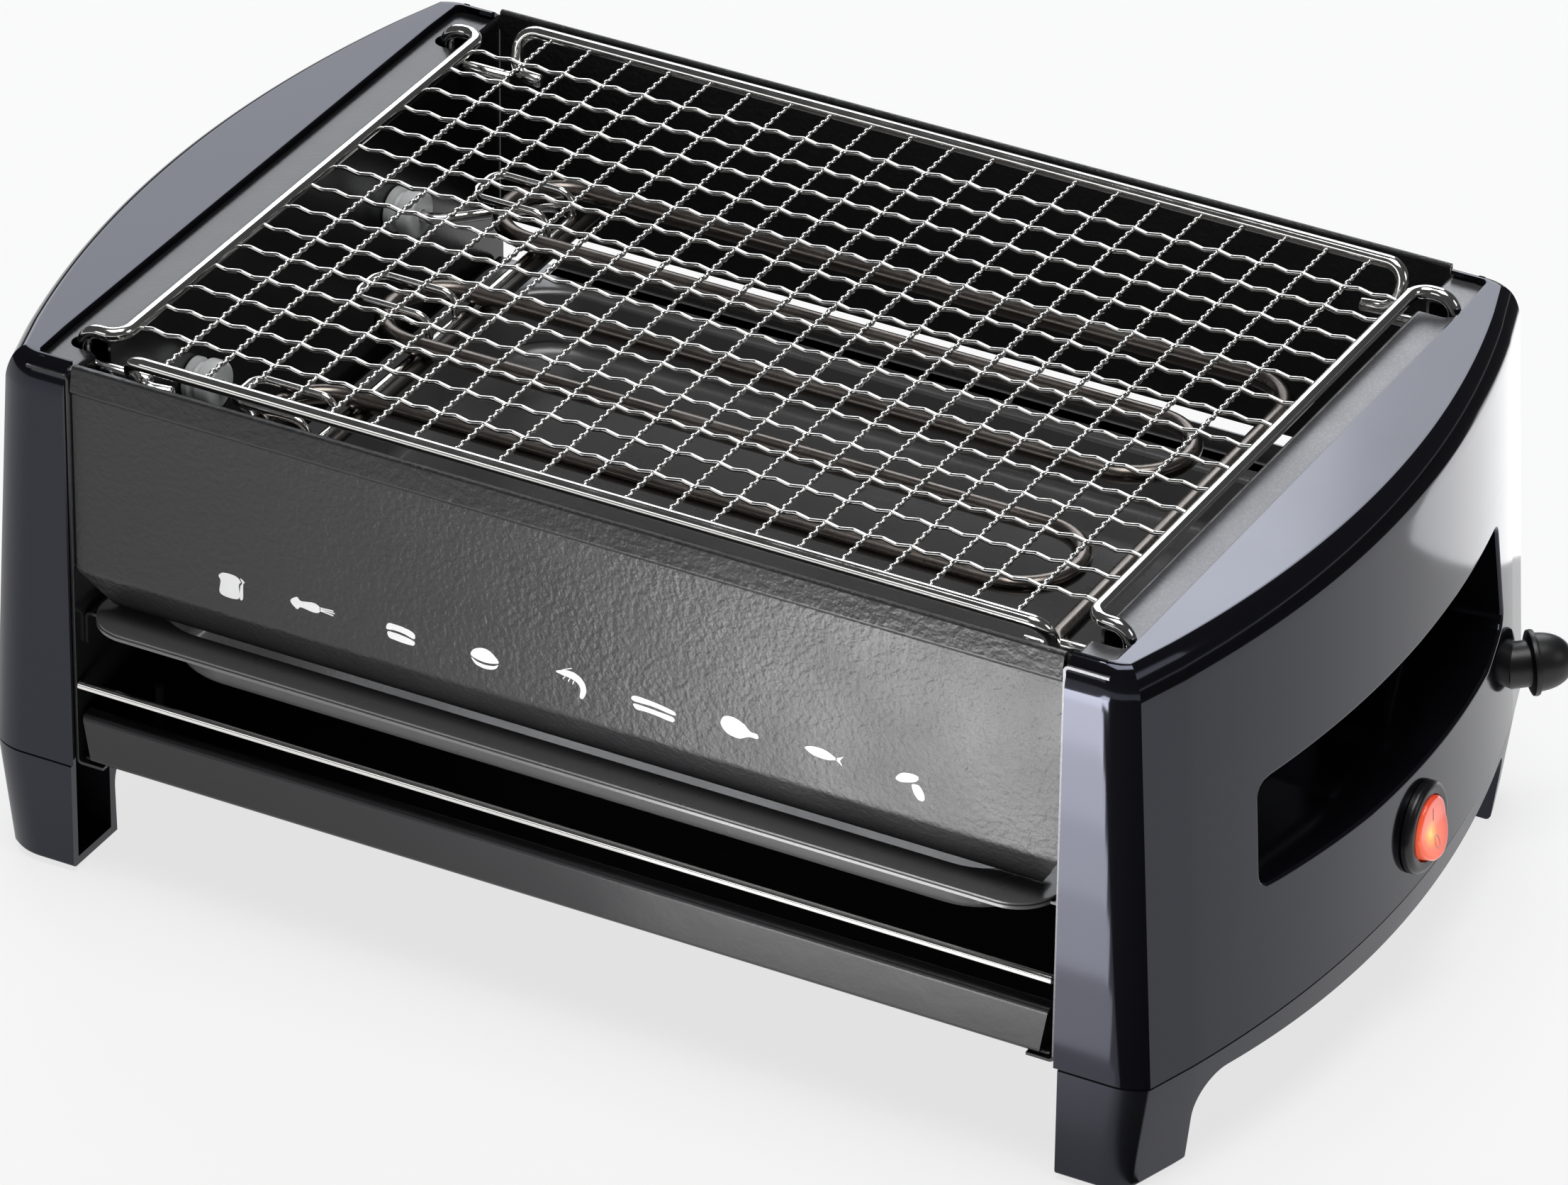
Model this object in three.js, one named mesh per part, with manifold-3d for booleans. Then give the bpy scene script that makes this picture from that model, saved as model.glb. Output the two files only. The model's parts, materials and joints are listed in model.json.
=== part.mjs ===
import * as THREE from 'three';
import { mergeVertices } from 'three/addons/utils/BufferGeometryUtils.js';
import Module from 'manifold-3d';

const wasm = await Module();
wasm.setup();

// An electric table grill. Lengths are in millimetres. X runs along the long side with the
// switch at +X, the front faces -Y, and heights are measured up from the table.

const gap = 0.3; // left between two pieces that touch
const overrun = 12; // how far a cut runs past the surface that it opens
const holeSides = 12;
const bendStep = Math.PI / 6; // turn from one facet of a bend to the next
const sheet = 1; // thickness of the formed steel sheet
const foldRadius = 1.6; // centre line radius of a fold in the sheet

// Grill net: a wire mesh in a frame of bent rod
const meshPitch = 15;
const meshColumns = 20;
const meshRows = 14;
const meshWire = 1.6;
const netRod = 5;
const netRodRise = 0.4; // of the rod's centre over the mesh
const ringMarginY = 20.5; // from the last mesh wire to the front or rear rod
const barMarginX = 21; // from the last mesh wire to the side bar
const rungInset = 8; // of the ring's side rungs inside the side bars
const rungDrop = 16;
const rungSetback = 3.5; // of the ring's lower corners behind its upper ones
const ringBend = 7;
const earReach = 13; // how far the ears stand out from the side bar
const earPlace = 11; // of the ears' centre past the last mesh wire, along Y
const earRun = 12; // along Y in which the side bar turns out to the ear
const earBend = 5.2;
const rodSides = 8;

// Body of sheet steel, sized round the net
const netClearanceX = 1.5;
const netClearanceY = 9.4;
const netPlaceX = 2.5; // the loose net lies a little to the right of the body's middle
const netPlaceY = -1.9; // and to the front of it
const bodyTop = 188;
const netRise = 2; // of the mesh over the body
const lipHeight = 8; // folded down over the panel's face
const lipGap = 0.4;
const bevelTop = 114; // where the front panel turns in
const bevelDepth = 7.5;
const bevelHeight = 14.3;
const bevelMitre = 9;
const hemDepth = 6;
const rearPanelBottom = 109;
const panTop = 60.5;
const panBottom = 43;
const panRim = 5.6;
const panRimDrop = 4.5;
const panEndLean = 3;

// Side plates that carry the panels, the pan, the tray runners, the heater and the net
const ledgeWidth = 15.5;
const plateFlange = 9;
const notchSlack = 0.9; // each side of an ear's rod

// Side covers, moulded in one with the hand-hold pocket
const coverBottom = 41;
const coverProud = 1.5; // in front of the panels
const coverTopReach = 46.3; // of the bow's middle past the side plate, at the top
const coverFlare = 8.2; // more reach at the bottom edge
const bowRadius = 428;
const coverCorner = 18;
const coverEdge = 6;
const coverWall = 2.5;
const coverArm = 6; // width of the top's front and rear arms
const coverTopInner = 14.7; // from the side plate to the inner edge of the top
const topOpeningCorner = 4.5;
const bowSteps = 14;
const cornerSteps = 4;
const edgeSteps = 3;

// Hand-hold pocket
const slotLength = 183;
const slotHeightShare = 0.313; // of the cover's height
const slotRiseShare = 0.265; // of the slot's bottom over the cover's, in the cover's height
const slotMiddle = 7.6; // of the slot along Y
const slotOutlineShares = [[0, 0.2], [0.34, 0.09], [0.885, 0], [1, 0.13], [0.955, 1], [0, 1]];
const slotCorner = 5;
const pocketBack = 11; // from the side plate to the back of the pocket
const pocketWall = 2.2;
const pocketDraftShare = 0.93; // size of the pocket's back against its mouth

// Bottom covers with the legs
const legInset = 1; // of the leg's faces behind the side cover's
const legSetback = 1.2; // of the legs' open side outside the cover's
const legTaper = 5; // the bow's shift inwards from the seam to the feet
const legLength = 26; // along Y
const legWall = 2.5;
const legFloor = 3;
const archSide = 33; // height of the arch beside the legs
const archBelly = 4;
const archCorner = 13;
const archSteps = 10;
const padHeight = 1.5;
const padRadius = 7;

// Drip tray and its runners
const trayTop = 97.5;
const trayDepth = 21;
const trayWall = 1;
const traySide = 3.5; // from the side plate to the flange
const trayFlange = 13;
const trayHem = 2.4; // depth of the flange's folded front edge
const hemReach = 7.5; // of that edge round the front corners
const trayFront = 3.7; // of the flange in front of the front panel
const trayRear = 1.5; // of the flange inside the rear panel
const traySlope = 6; // of the well's walls, over their height
const trayCorner = 15;
const wellCorner = 26;
const rearRimHeight = 8.5;
const runnerWidth = 12.5;
const runnerHeight = 11;
const runnerInset = 5.5; // of its ends inside the panels

// Tie rods across the front and rear
const tieRod = 3;
const tieRise = 11; // of the rods over the pan's rim
const tieInset = 0.6; // of its centre inside the panels' faces

// Tubular heater
const heaterTube = 6.5;
const heaterDrop = 32; // of its plane under the body's top
const heaterRows = 6;
const heaterRowPitch = 38.4;
const heaterLeft = 37; // from the side plate to the centre line of the left bends
const heaterRight = 45;
const heaterReturn = 35;
const terminalSpacing = 20;
const sheathEnd = 11; // past the right side plate
const terminalPin = 3;
const terminalPinLength = 9;
const collarRadius = 6.5;
const collarLength = 4;
const heaterSides = 8;

// Heater support at the left side plate
const supportRod = 4;
const bushRadius = 7.75;
const bushLength = 8;
const bushSpacing = 128;
const bushGroove = 1.6;
const bailReach = 56; // from the side plate to the bail's cross run
const bailCross = 204;
const bailNeck = 17; // from the side plate to the bail's first bend
const bailBend = 8;
const clipReach = 27; // from the side plate to the clips' closed ends
const clipHalfWidth = 8.5;
const clipBend = 4.2;

// Rocker switch
const switchPlace = 12.1; // along Y
const switchShare = 0.513; // of its height between the cover's bottom and the slot's
const bezelRadius = 15.3;
const bezelProud = 3;
const bezelBore = 11;
const switchBarrel = 12.4;
const switchBarrelLength = 14;
const bezelRim = 2.2;
const rockerRadius = 10.5;
const rockerTilt = 8; // degrees
const rockerPivotDepth = 2.2; // of the pivot under the bezel's face
const rockerRise = 3.4; // of the rocker's ridge over its pivot
const rockerSkirt = 5;
const switchFloor = 2;
const spadeWidth = 6.3;
const spadeLength = 8;
const spadeThickness = 0.8;

// Cord inlet
const inletPlace = 117.1; // along Y
const inletShare = 0.462; // of its height between the cover's bottom and the slot's
const inletTurn = 22; // degrees that it points further back than the cover's face
const inletBoss = 7.7;
const inletBossLength = 5;
const inletFlange = 11;
const inletFlangeLength = 2.4;
const inletDome = 9.6;
const inletDomeLength = 12;
const inletBore = 3.8;
const inletTail = 9;
const domeSteps = 5;

// Wiring inside the right cover
const leadRadius = 1.4;
const leadSides = 6;
const leadBend = 5;
const leadFromPlate = 5; // of the leads' centres behind the pocket
const leadSpacing = 3.6;
const blockWidth = 12;
const blockLength = 34;
const blockHeight = 16;
const blockPlace = 78; // along Y
const blockLevel = 60;
const fuseRadius = 3.4;
const fuseLength = 22;
const fuseRise = 10; // of the fuse over the slot's bottom
const riserInset = 14; // of the lead with the fuse from the side plate
const pocketClearance = 5; // of the leads over the hand-hold pocket
const riserClearance = 9; // of the riser's centre in front of the pocket

// Screws that hold the covers and the pan
const screwHeadRadius = 4.3;
const screwHeadHeight = 2.4;
const screwShank = 1.9;
const screwLength = 9;
const coverScrewMargin = 16.5; // along Y, past half the slot's length
const coverScrewHeight = 79;
const screwBoss = 4;
const panScrewPlace = 96;
const panScrewInset = 5; // from the side plate

// Places worked out from the sizes above
const meshHalfX = (meshColumns / 2) * meshPitch;
const meshHalfY = (meshRows / 2) * meshPitch;
const ringY = meshHalfY + ringMarginY;
const barX = meshHalfX + barMarginX;
const plateX = barX + netRod / 2 + netClearanceX; // inner face of the side plate
const panelY = ringY + netRod / 2 + netClearanceY; // outer face of the lip
const coverX = plateX + sheet + gap;
const coverY = panelY + coverProud;
const coverHeight = bodyTop - coverBottom;
const slotBottom = coverBottom + slotRiseShare * coverHeight;
const slotHeight = slotHeightShare * coverHeight;
const netHeight = bodyTop + netRise; // plane of the mesh
const heaterHeight = bodyTop - heaterDrop;
const tieHeight = panTop + tieRise;
const coverScrewPlace = slotLength / 2 + coverScrewMargin;
const supportHeight = heaterHeight - heaterTube / 2 - gap - supportRod / 2;

const up = new THREE.Vector3(0, 0, 1);
const v2 = (x, y) => new THREE.Vector2(x, y);
const v3 = (x, y, z) => new THREE.Vector3(x, y, z);

// A round bend between two straight runs, as points with the direction of travel at each.
function bend(before, corner, after, radius, steps) {
  const arriving = corner.clone().sub(before).normalize();
  const leaving = after.clone().sub(corner).normalize();
  const turn = Math.acos(THREE.MathUtils.clamp(arriving.dot(leaving), -1, 1));
  const inward = leaving.clone().addScaledVector(arriving, -arriving.dot(leaving)).normalize();
  const start = corner.clone().addScaledVector(arriving, -radius * Math.tan(turn / 2));
  const count = steps ?? Math.max(2, Math.round(turn / bendStep));
  return Array.from({ length: count + 1 }, (_, k) => {
    const angle = (turn * k) / count;
    return {
      point: start.clone()
        .addScaledVector(arriving, radius * Math.sin(angle))
        .addScaledVector(inward, radius * (1 - Math.cos(angle))),
      tangent: arriving.clone().multiplyScalar(Math.cos(angle)).addScaledVector(inward, Math.sin(angle)),
    };
  });
}

// The points of an open line with its corners rounded.
function bentLine(corners, radius) {
  const last = corners.length - 1;
  const along = (a, b) => b.clone().sub(a).normalize();
  const line = [{ point: corners[0], tangent: along(corners[0], corners[1]) }];
  for (let k = 1; k < last; k++) {
    for (const station of bend(corners[k - 1], corners[k], corners[k + 1], radius)) {
      if (station.point.distanceTo(line.at(-1).point) > gap) line.push(station);
    }
  }
  line.push({ point: corners[last], tangent: along(corners[last - 1], corners[last]) });
  return line;
}

// The points of a closed outline with its corners rounded, the same number for each corner.
function roundedLoop(corners, radius, steps = cornerSteps) {
  const count = corners.length;
  return corners.flatMap((corner, k) =>
    bend(corners[(k + count - 1) % count], corner, corners[(k + 1) % count], radius, steps)
      .map((station) => station.point));
}

// The centre line of a bent rod, with a ring of faces only where the rod turns.
class RodLine extends THREE.Curve {
  constructor(corners, radius) {
    super();
    this.stations = bentLine(corners, radius);
  }

  at(share) {
    return this.stations[Math.round(share * (this.stations.length - 1))];
  }

  getPointAt(share) {
    return this.at(share).point.clone();
  }

  getTangentAt(share) {
    return this.at(share).tangent.clone();
  }
}

function rod(corners, diameter, bendRadius, sides = rodSides) {
  const line = new RodLine(corners, bendRadius);
  const section = new THREE.Shape(Array.from({ length: sides }, (_, k) => {
    const angle = (2 * Math.PI * (k + 0.5)) / sides;
    return v2(Math.cos(angle), Math.sin(angle)).multiplyScalar(diameter / 2);
  }));
  return new THREE.ExtrudeGeometry(section, { extrudePath: line, steps: line.stations.length - 1 });
}

// The section of a bent sheet about its centre line.
function sheetShape(corners, thickness = sheet, radius = foldRadius) {
  const line = bentLine(corners, radius);
  const side = (sign) => line.map(({ point, tangent }) =>
    v2(point.x - sign * tangent.y * thickness / 2, point.y + sign * tangent.x * thickness / 2));
  return new THREE.Shape([...side(-1), ...side(1).reverse()]);
}

// Extrusions of a shape drawn in YZ along X, and of one drawn in XZ along Y.
function alongX(shape, from, to) {
  const turned = new THREE.Matrix4().makeBasis(v3(0, 1, 0), v3(0, 0, 1), v3(1, 0, 0));
  return new THREE.ExtrudeGeometry(shape, { depth: to - from, bevelEnabled: false })
    .applyMatrix4(turned).translate(from, 0, 0);
}

function alongY(shape, from, to) {
  const turned = new THREE.Matrix4().makeBasis(v3(1, 0, 0), v3(0, 0, 1), v3(0, -1, 0));
  return new THREE.ExtrudeGeometry(shape, { depth: to - from, bevelEnabled: false })
    .applyMatrix4(turned).translate(0, to, 0);
}

function mirrored(shape) {
  return new THREE.Shape(shape.getPoints().map((point) => v2(-point.x, point.y)).reverse());
}

// A block between limits along X, Y and Z.
function block([x0, x1], [y0, y1], [z0, z1]) {
  return new THREE.BoxGeometry(x1 - x0, y1 - y0, z1 - z0)
    .translate((x0 + x1) / 2, (y0 + y1) / 2, (z0 + z1) / 2);
}

// A body of revolution about Z from points of radius and height.
function turned(profile, segments = 18) {
  return new THREE.LatheGeometry(profile.map(([r, z]) => v2(r, z)), segments).rotateX(Math.PI / 2);
}

// A solid through rings of points that go round counterclockwise seen from the last ring.
function loft(rings) {
  const count = rings[0].length;
  const end = (rings.length - 1) * count;
  const index = [];
  for (let r = 0; r < rings.length - 1; r++) {
    for (let k = 0; k < count; k++) {
      const a = r * count + k;
      const b = r * count + ((k + 1) % count);
      index.push(a, b, b + count, a, b + count, a + count);
    }
  }
  for (let k = 1; k < count - 1; k++) {
    index.push(0, k + 1, k, end, end + k, end + k + 1);
  }
  const geometry = new THREE.BufferGeometry();
  geometry.setAttribute('position', new THREE.Float32BufferAttribute(
    rings.flat().flatMap((point) => point.toArray()), 3));
  geometry.setIndex(index);
  return geometry;
}

function solid(geometry) {
  const bare = geometry.clone();
  bare.deleteAttribute('normal');
  bare.deleteAttribute('uv');
  const merged = mergeVertices(bare);
  return new wasm.Manifold(new wasm.Mesh({
    numProp: 3,
    vertProperties: merged.attributes.position.array,
    triVerts: new Uint32Array(merged.index.array),
  }));
}

// One geometry from a first solid with others joined to it and cut from it.
function shaped(first, { joined = [], cut = [] }) {
  let body = solid(first);
  for (const other of joined) body = body.add(solid(other));
  for (const other of cut) body = body.subtract(solid(other));
  return geometryOf(body);
}

function geometryOf(body) {
  const { vertProperties, triVerts } = body.getMesh();
  const geometry = new THREE.BufferGeometry();
  geometry.setAttribute('position', new THREE.Float32BufferAttribute(vertProperties, 3));
  geometry.setIndex([...triVerts]);
  return geometry.toNonIndexed();
}

function finish(color, roughness, metalness) {
  return () => new THREE.MeshStandardMaterial({ color, roughness, metalness, flatShading: true });
}

const glossBlack = finish(0x0b0c10, 0.16, 0);
const legBlack = finish(0x17181b, 0.4, 0);
const bodyEnamel = finish(0x202122, 0.45, 0.3);
const plateSteel = finish(0x6d6f72, 0.5, 0.7);
const trayCoat = finish(0x232425, 0.5, 0.3);
const chromeWire = finish(0xd8d8d6, 0.14, 1);
const heaterSteel = finish(0x4b423c, 0.42, 0.9);
const darkRod = finish(0x2b2725, 0.5, 0.7);
const ceramic = finish(0xb9bcbf, 0.45, 0);
const rubber = finish(0x101012, 0.75, 0);
const switchBlack = finish(0x0d0d0f, 0.35, 0);
const lamp = finish(0xf04a22, 0.2, 0);
const brass = finish(0xb9933f, 0.35, 1);
const zinc = finish(0xb4b7ba, 0.35, 0.9);
const nylon = finish(0xd9d6cb, 0.5, 0);
const leadBrown = finish(0x5a2f1c, 0.55, 0);
const leadBlue = finish(0x24508c, 0.55, 0);

const grill = new THREE.Group();

function add(name, geometry, material, parent = grill) {
  geometry.computeVertexNormals();
  const mesh = new THREE.Mesh(geometry, material());
  mesh.name = name;
  parent.add(mesh);
  return mesh;
}

// The same piece at the other end, as its mirror image.
function addPair(name, geometry, material) {
  add(`right_${name}`, geometry, material);
  add(`left_${name}`, geometry.clone(), material).scale.x = -1;
}

// Grill net: a flat lattice, filled where a cell lies on a wire that runs either way
function netMesh() {
  const wire = meshWire / 2;
  const breaks = (count, half, end) => {
    const edges = [-end];
    for (let k = 0; k <= count; k++) {
      const middle = k * meshPitch - half;
      edges.push(middle - wire, middle + wire);
    }
    return [...edges, end];
  };
  const xs = breaks(meshColumns, meshHalfX, barX - netRod / 2 - gap);
  const ys = breaks(meshRows, meshHalfY, ringY - netRod / 2 - gap);
  const filled = (i, j) => {
    const inside = i >= 0 && j >= 0 && i < xs.length - 1 && j < ys.length - 1;
    return inside && (i % 2 === 1 || j % 2 === 1);
  };
  const [low, high] = [netHeight - wire, netHeight + wire];
  const corners = [];
  const quad = (a, b, c, d) => corners.push(...a, ...b, ...c, ...a, ...c, ...d);
  for (let i = 0; i < xs.length - 1; i++) {
    for (let j = 0; j < ys.length - 1; j++) {
      if (!filled(i, j)) continue;
      const [x0, x1, y0, y1] = [xs[i], xs[i + 1], ys[j], ys[j + 1]];
      quad([x0, y0, high], [x1, y0, high], [x1, y1, high], [x0, y1, high]);
      quad([x0, y0, low], [x0, y1, low], [x1, y1, low], [x1, y0, low]);
      if (!filled(i, j - 1)) quad([x0, y0, low], [x1, y0, low], [x1, y0, high], [x0, y0, high]);
      if (!filled(i + 1, j)) quad([x1, y0, low], [x1, y1, low], [x1, y1, high], [x1, y0, high]);
      if (!filled(i, j + 1)) quad([x1, y1, low], [x0, y1, low], [x0, y1, high], [x1, y1, high]);
      if (!filled(i - 1, j)) quad([x0, y1, low], [x0, y0, low], [x0, y0, high], [x0, y1, high]);
    }
  }
  const geometry = new THREE.BufferGeometry();
  geometry.setAttribute('position', new THREE.Float32BufferAttribute(corners, 3));
  return geometry;
}

// The ring's ends meet in a butt joint in the middle of its right rung.
function netRing() {
  const rungX = barX - rungInset;
  const upper = netHeight + netRodRise;
  const lower = netHeight - rungDrop;
  const lowY = ringY - rungSetback;
  return rod([
    v3(rungX, gap / 2, lower),
    v3(rungX, lowY, lower),
    v3(rungX, ringY, upper),
    v3(-rungX, ringY, upper),
    v3(-rungX, lowY, lower),
    v3(-rungX, -lowY, lower),
    v3(-rungX, -ringY, upper),
    v3(rungX, -ringY, upper),
    v3(rungX, -lowY, lower),
    v3(rungX, -gap / 2, lower),
  ], netRod, ringBend);
}

const earX = barX + earReach;
const earY = meshHalfY + earPlace;
const earHeight = netHeight - rungDrop + netRod + gap; // of the ear's lower leg, over the rung

function netSideBar() {
  const upper = netHeight + netRodRise;
  const rungX = barX - rungInset;
  return rod([
    v3(rungX, -earY, earHeight),
    v3(earX, -earY, earHeight),
    v3(earX, -earY, upper),
    v3(barX, earRun - earY, upper),
    v3(barX, earY - earRun, upper),
    v3(earX, earY, upper),
    v3(earX, earY, earHeight),
    v3(rungX, earY, earHeight),
  ], netRod, earBend);
}

const net = new THREE.Group();
net.position.set(netPlaceX, netPlaceY, 0);
grill.add(net);
add('net_mesh', netMesh(), chromeWire, net);
add('net_ring', netRing(), chromeWire, net);
add('right_net_side_bar', netSideBar(), chromeWire, net);
add('left_net_side_bar', netSideBar(), chromeWire, net).scale.x = -1;

// Front and rear panels, folded over at the top into a lip on the face
function panelSection(lowerCorners) {
  const lipY = -panelY + sheet / 2;
  const faceY = lipY + sheet + lipGap;
  const top = bodyTop - sheet / 2;
  return sheetShape([
    v2(lipY, bodyTop - lipHeight),
    v2(lipY, top),
    v2(faceY, top),
    ...lowerCorners(faceY),
  ], sheet, (sheet + lipGap) / 2);
}

const panelEnd = plateX - gap;
const bevelBottom = bevelTop - bevelHeight;

function frontPanel() {
  const section = panelSection((faceY) => [
    v2(faceY, bevelTop),
    v2(faceY + bevelDepth, bevelBottom),
    v2(faceY + bevelDepth + hemDepth, bevelBottom),
  ]);
  const slope = bevelMitre / bevelHeight;
  const wedge = new THREE.Shape([
    v2(panelEnd, bevelTop),
    v2(panelEnd - bevelMitre - slope * overrun, bevelBottom - overrun),
    v2(panelEnd + overrun, bevelBottom - overrun),
    v2(panelEnd + overrun, bevelTop),
  ]);
  const [from, to] = [-panelY - overrun, -panelY + bevelDepth + hemDepth + overrun];
  return shaped(alongX(section, -panelEnd, panelEnd), {
    cut: [alongY(wedge, from, to), alongY(mirrored(wedge), from, to)],
  });
}

function rearPanel() {
  const section = panelSection((faceY) => [v2(faceY, rearPanelBottom)]);
  return alongX(section, -panelEnd, panelEnd).rotateZ(Math.PI);
}

add('front_panel', frontPanel(), bodyEnamel);
add('rear_panel', rearPanel(), bodyEnamel);

function panScrewHoles() {
  const radius = screwShank + gap;
  return [[-1, -1], [1, -1], [1, 1], [-1, 1]].map(([sideX, sideY]) =>
    new THREE.CylinderGeometry(radius, radius, overrun, holeSides).rotateX(Math.PI / 2)
      .translate(sideX * (plateX - panScrewInset), sideY * panScrewPlace, panBottom));
}

// Bottom pan, with its front and rear walls turned back into a rim
function basePan() {
  const wallY = panelY - sheet / 2;
  const rimY = wallY - panRim;
  const top = panTop - sheet / 2;
  const low = panBottom + sheet / 2;
  const section = sheetShape([
    v2(-rimY, top - panRimDrop),
    v2(-rimY, top),
    v2(-wallY, top),
    v2(-wallY, low),
    v2(wallY, low),
    v2(wallY, top),
    v2(rimY, top),
    v2(rimY, top - panRimDrop),
  ]);
  const panEnd = plateX - foldRadius;
  const lean = new THREE.Shape([
    v2(panEnd, panTop),
    v2(panEnd - panEndLean, panBottom),
    v2(panEnd - panEndLean, panBottom - overrun),
    v2(panEnd + overrun, panBottom - overrun),
    v2(panEnd + overrun, panTop),
  ]);
  const rightFront = alongY(lean, -panelY - overrun, -wallY + sheet);
  const leftFront = alongY(mirrored(lean), -panelY - overrun, -wallY + sheet);
  return shaped(alongX(section, -panEnd, panEnd), {
    cut: [rightFront, leftFront, rightFront.clone().rotateZ(Math.PI), leftFront.clone().rotateZ(Math.PI),
      ...panScrewHoles()],
  });
}

add('base_pan', basePan(), bodyEnamel);

// Side plates
const ledgeTop = bodyTop - coverWall - gap;
const plateBottom = panBottom - gap - sheet;

function sidePlate(heaterHoles) {
  const wallX = plateX + sheet / 2;
  const section = sheetShape([
    v2(plateX + ledgeWidth, ledgeTop - sheet / 2),
    v2(wallX, ledgeTop - sheet / 2),
    v2(wallX, plateBottom + sheet / 2),
    v2(plateX - plateFlange, plateBottom + sheet / 2),
  ]);
  const ledgeEnd = coverY - coverArm - 2 * gap;
  const cut = [];
  for (const side of [-1, 1]) {
    const notch = netRod / 2 + notchSlack;
    cut.push(block(
      [plateX - overrun, earX + netPlaceX + netRod / 2 + notchSlack],
      [side * earY + netPlaceY - notch, side * earY + netPlaceY + notch],
      [earHeight - netRod / 2 - gap, bodyTop + overrun]));
    const outer = side * (ledgeEnd + overrun);
    cut.push(block(
      [plateX + sheet + gap, plateX + ledgeWidth + overrun],
      [Math.min(side * ledgeEnd, outer), Math.max(side * ledgeEnd, outer)],
      [ledgeTop - sheet - foldRadius, bodyTop]));
  }
  for (const y of heaterHoles) {
    cut.push(new THREE.CylinderGeometry(heaterTube / 2 + gap, heaterTube / 2 + gap, overrun, holeSides)
      .rotateZ(Math.PI / 2).translate(wallX, y, heaterHeight));
  }
  const shank = screwShank + gap;
  for (const y of [-coverScrewPlace, coverScrewPlace]) {
    cut.push(new THREE.CylinderGeometry(shank, shank, overrun, holeSides).rotateZ(Math.PI / 2)
      .translate(wallX, y, coverScrewHeight));
  }
  for (const y of [-panScrewPlace, panScrewPlace]) {
    cut.push(new THREE.CylinderGeometry(shank, shank, overrun, holeSides).rotateX(Math.PI / 2)
      .translate(plateX - panScrewInset, y, plateBottom));
  }
  return shaped(alongY(section, -panelY, panelY), { cut });
}

const firstRow = -((heaterRows - 1) / 2) * heaterRowPitch;
const terminalPlaces = [firstRow, firstRow + terminalSpacing];
add('right_side_plate', sidePlate(terminalPlaces), plateSteel);
add('left_side_plate', sidePlate([]), plateSteel).scale.x = -1;

// Tray runners and tie rods
const flangeUnder = trayTop - trayWall;
const runnerEnd = panelY - runnerInset;

function trayRunner() {
  const legX = plateX - gap - sheet / 2;
  const shelf = flangeUnder - gap - sheet / 2;
  const section = sheetShape([
    v2(legX, shelf - runnerHeight),
    v2(legX, shelf),
    v2(plateX - gap - runnerWidth, shelf),
  ]);
  return alongY(section, -runnerEnd, runnerEnd);
}

addPair('tray_runner', trayRunner(), plateSteel);
for (const [name, side] of [['front', -1], ['rear', 1]]) {
  const y = side * (panelY - tieInset);
  add(`${name}_tie_rod`, rod([v3(-plateX + gap, y, tieHeight), v3(plateX - gap, y, tieHeight)], tieRod, 0),
    chromeWire);
}

// Drip tray: a pressed well with a flange round it and a raised rear rim
function dripTray() {
  const halfX = plateX - traySide;
  const front = -panelY - trayFront;
  const rear = panelY - trayRear - sheet - lipGap - sheet;
  const level = (inset, radius, z) => roundedLoop([
    v3(-halfX + inset, front + inset, z),
    v3(halfX - inset, front + inset, z),
    v3(halfX - inset, rear - inset, z),
    v3(-halfX + inset, rear - inset, z),
  ], radius);
  const floor = trayTop - trayDepth;
  const well = loft([
    level(trayFlange + traySlope - trayWall, wellCorner + trayWall, floor),
    level(trayFlange - trayWall, wellCorner + trayWall, flangeUnder),
    level(0, trayCorner, flangeUnder),
    level(0, trayCorner, trayTop),
    level(trayFlange, wellCorner, trayTop),
    level(trayFlange + traySlope, wellCorner, floor + trayWall),
  ]);
  const rim = block([-halfX + trayCorner, halfX - trayCorner], [rear - trayWall, rear],
    [flangeUnder, trayTop + rearRimHeight]);
  const hemBottom = trayTop - trayHem;
  const inner = loft([
    level(trayWall, trayCorner - trayWall, hemBottom - overrun),
    level(trayWall, trayCorner - trayWall, trayTop + overrun),
  ]);
  const behind = block([-plateX, plateX], [front + hemReach, rear + overrun],
    [hemBottom - overrun, trayTop + overrun]);
  const hem = shaped(loft([level(0, trayCorner, hemBottom), level(0, trayCorner, flangeUnder)]),
    { cut: [inner, behind] });
  return shaped(well, { joined: [rim, hem] });
}

add('drip_tray', dripTray(), trayCoat);

// Heater
function heaterTubeGeometry() {
  const left = -plateX + heaterLeft;
  const right = plateX - heaterRight;
  const back = plateX - heaterReturn;
  const end = plateX + sheathEnd;
  const corners = [v3(end, firstRow, heaterHeight)];
  for (let row = 0; row < heaterRows; row++) {
    const y = firstRow + row * heaterRowPitch;
    const leftward = row % 2 === 0;
    const from = leftward ? right : left;
    const to = leftward ? left : right;
    if (row > 0) corners.push(v3(from, y, heaterHeight));
    corners.push(v3(row === heaterRows - 1 ? back : to, y, heaterHeight));
  }
  corners.push(v3(back, terminalPlaces[1], heaterHeight), v3(end, terminalPlaces[1], heaterHeight));
  return rod(corners, heaterTube, heaterRowPitch / 2, heaterSides);
}

add('heater_element', heaterTubeGeometry(), heaterSteel);
terminalPlaces.forEach((y, k) => {
  const end = k === 0 ? 'front' : 'rear';
  const bore = heaterTube / 2 + gap;
  const collar = turned([
    [bore, 0], [collarRadius, 0], [collarRadius, collarLength], [bore, collarLength], [bore, 0],
  ]);
  add(`${end}_heater_collar`, collar.rotateY(Math.PI / 2)
    .translate(plateX + sheet + gap, y, heaterHeight), zinc);
  const start = v3(plateX + sheathEnd + gap, y, heaterHeight);
  const tip = start.clone().setX(start.x + terminalPinLength);
  add(`${end}_heater_terminal`, rod([start, tip], terminalPin, 0), zinc);
});

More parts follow.
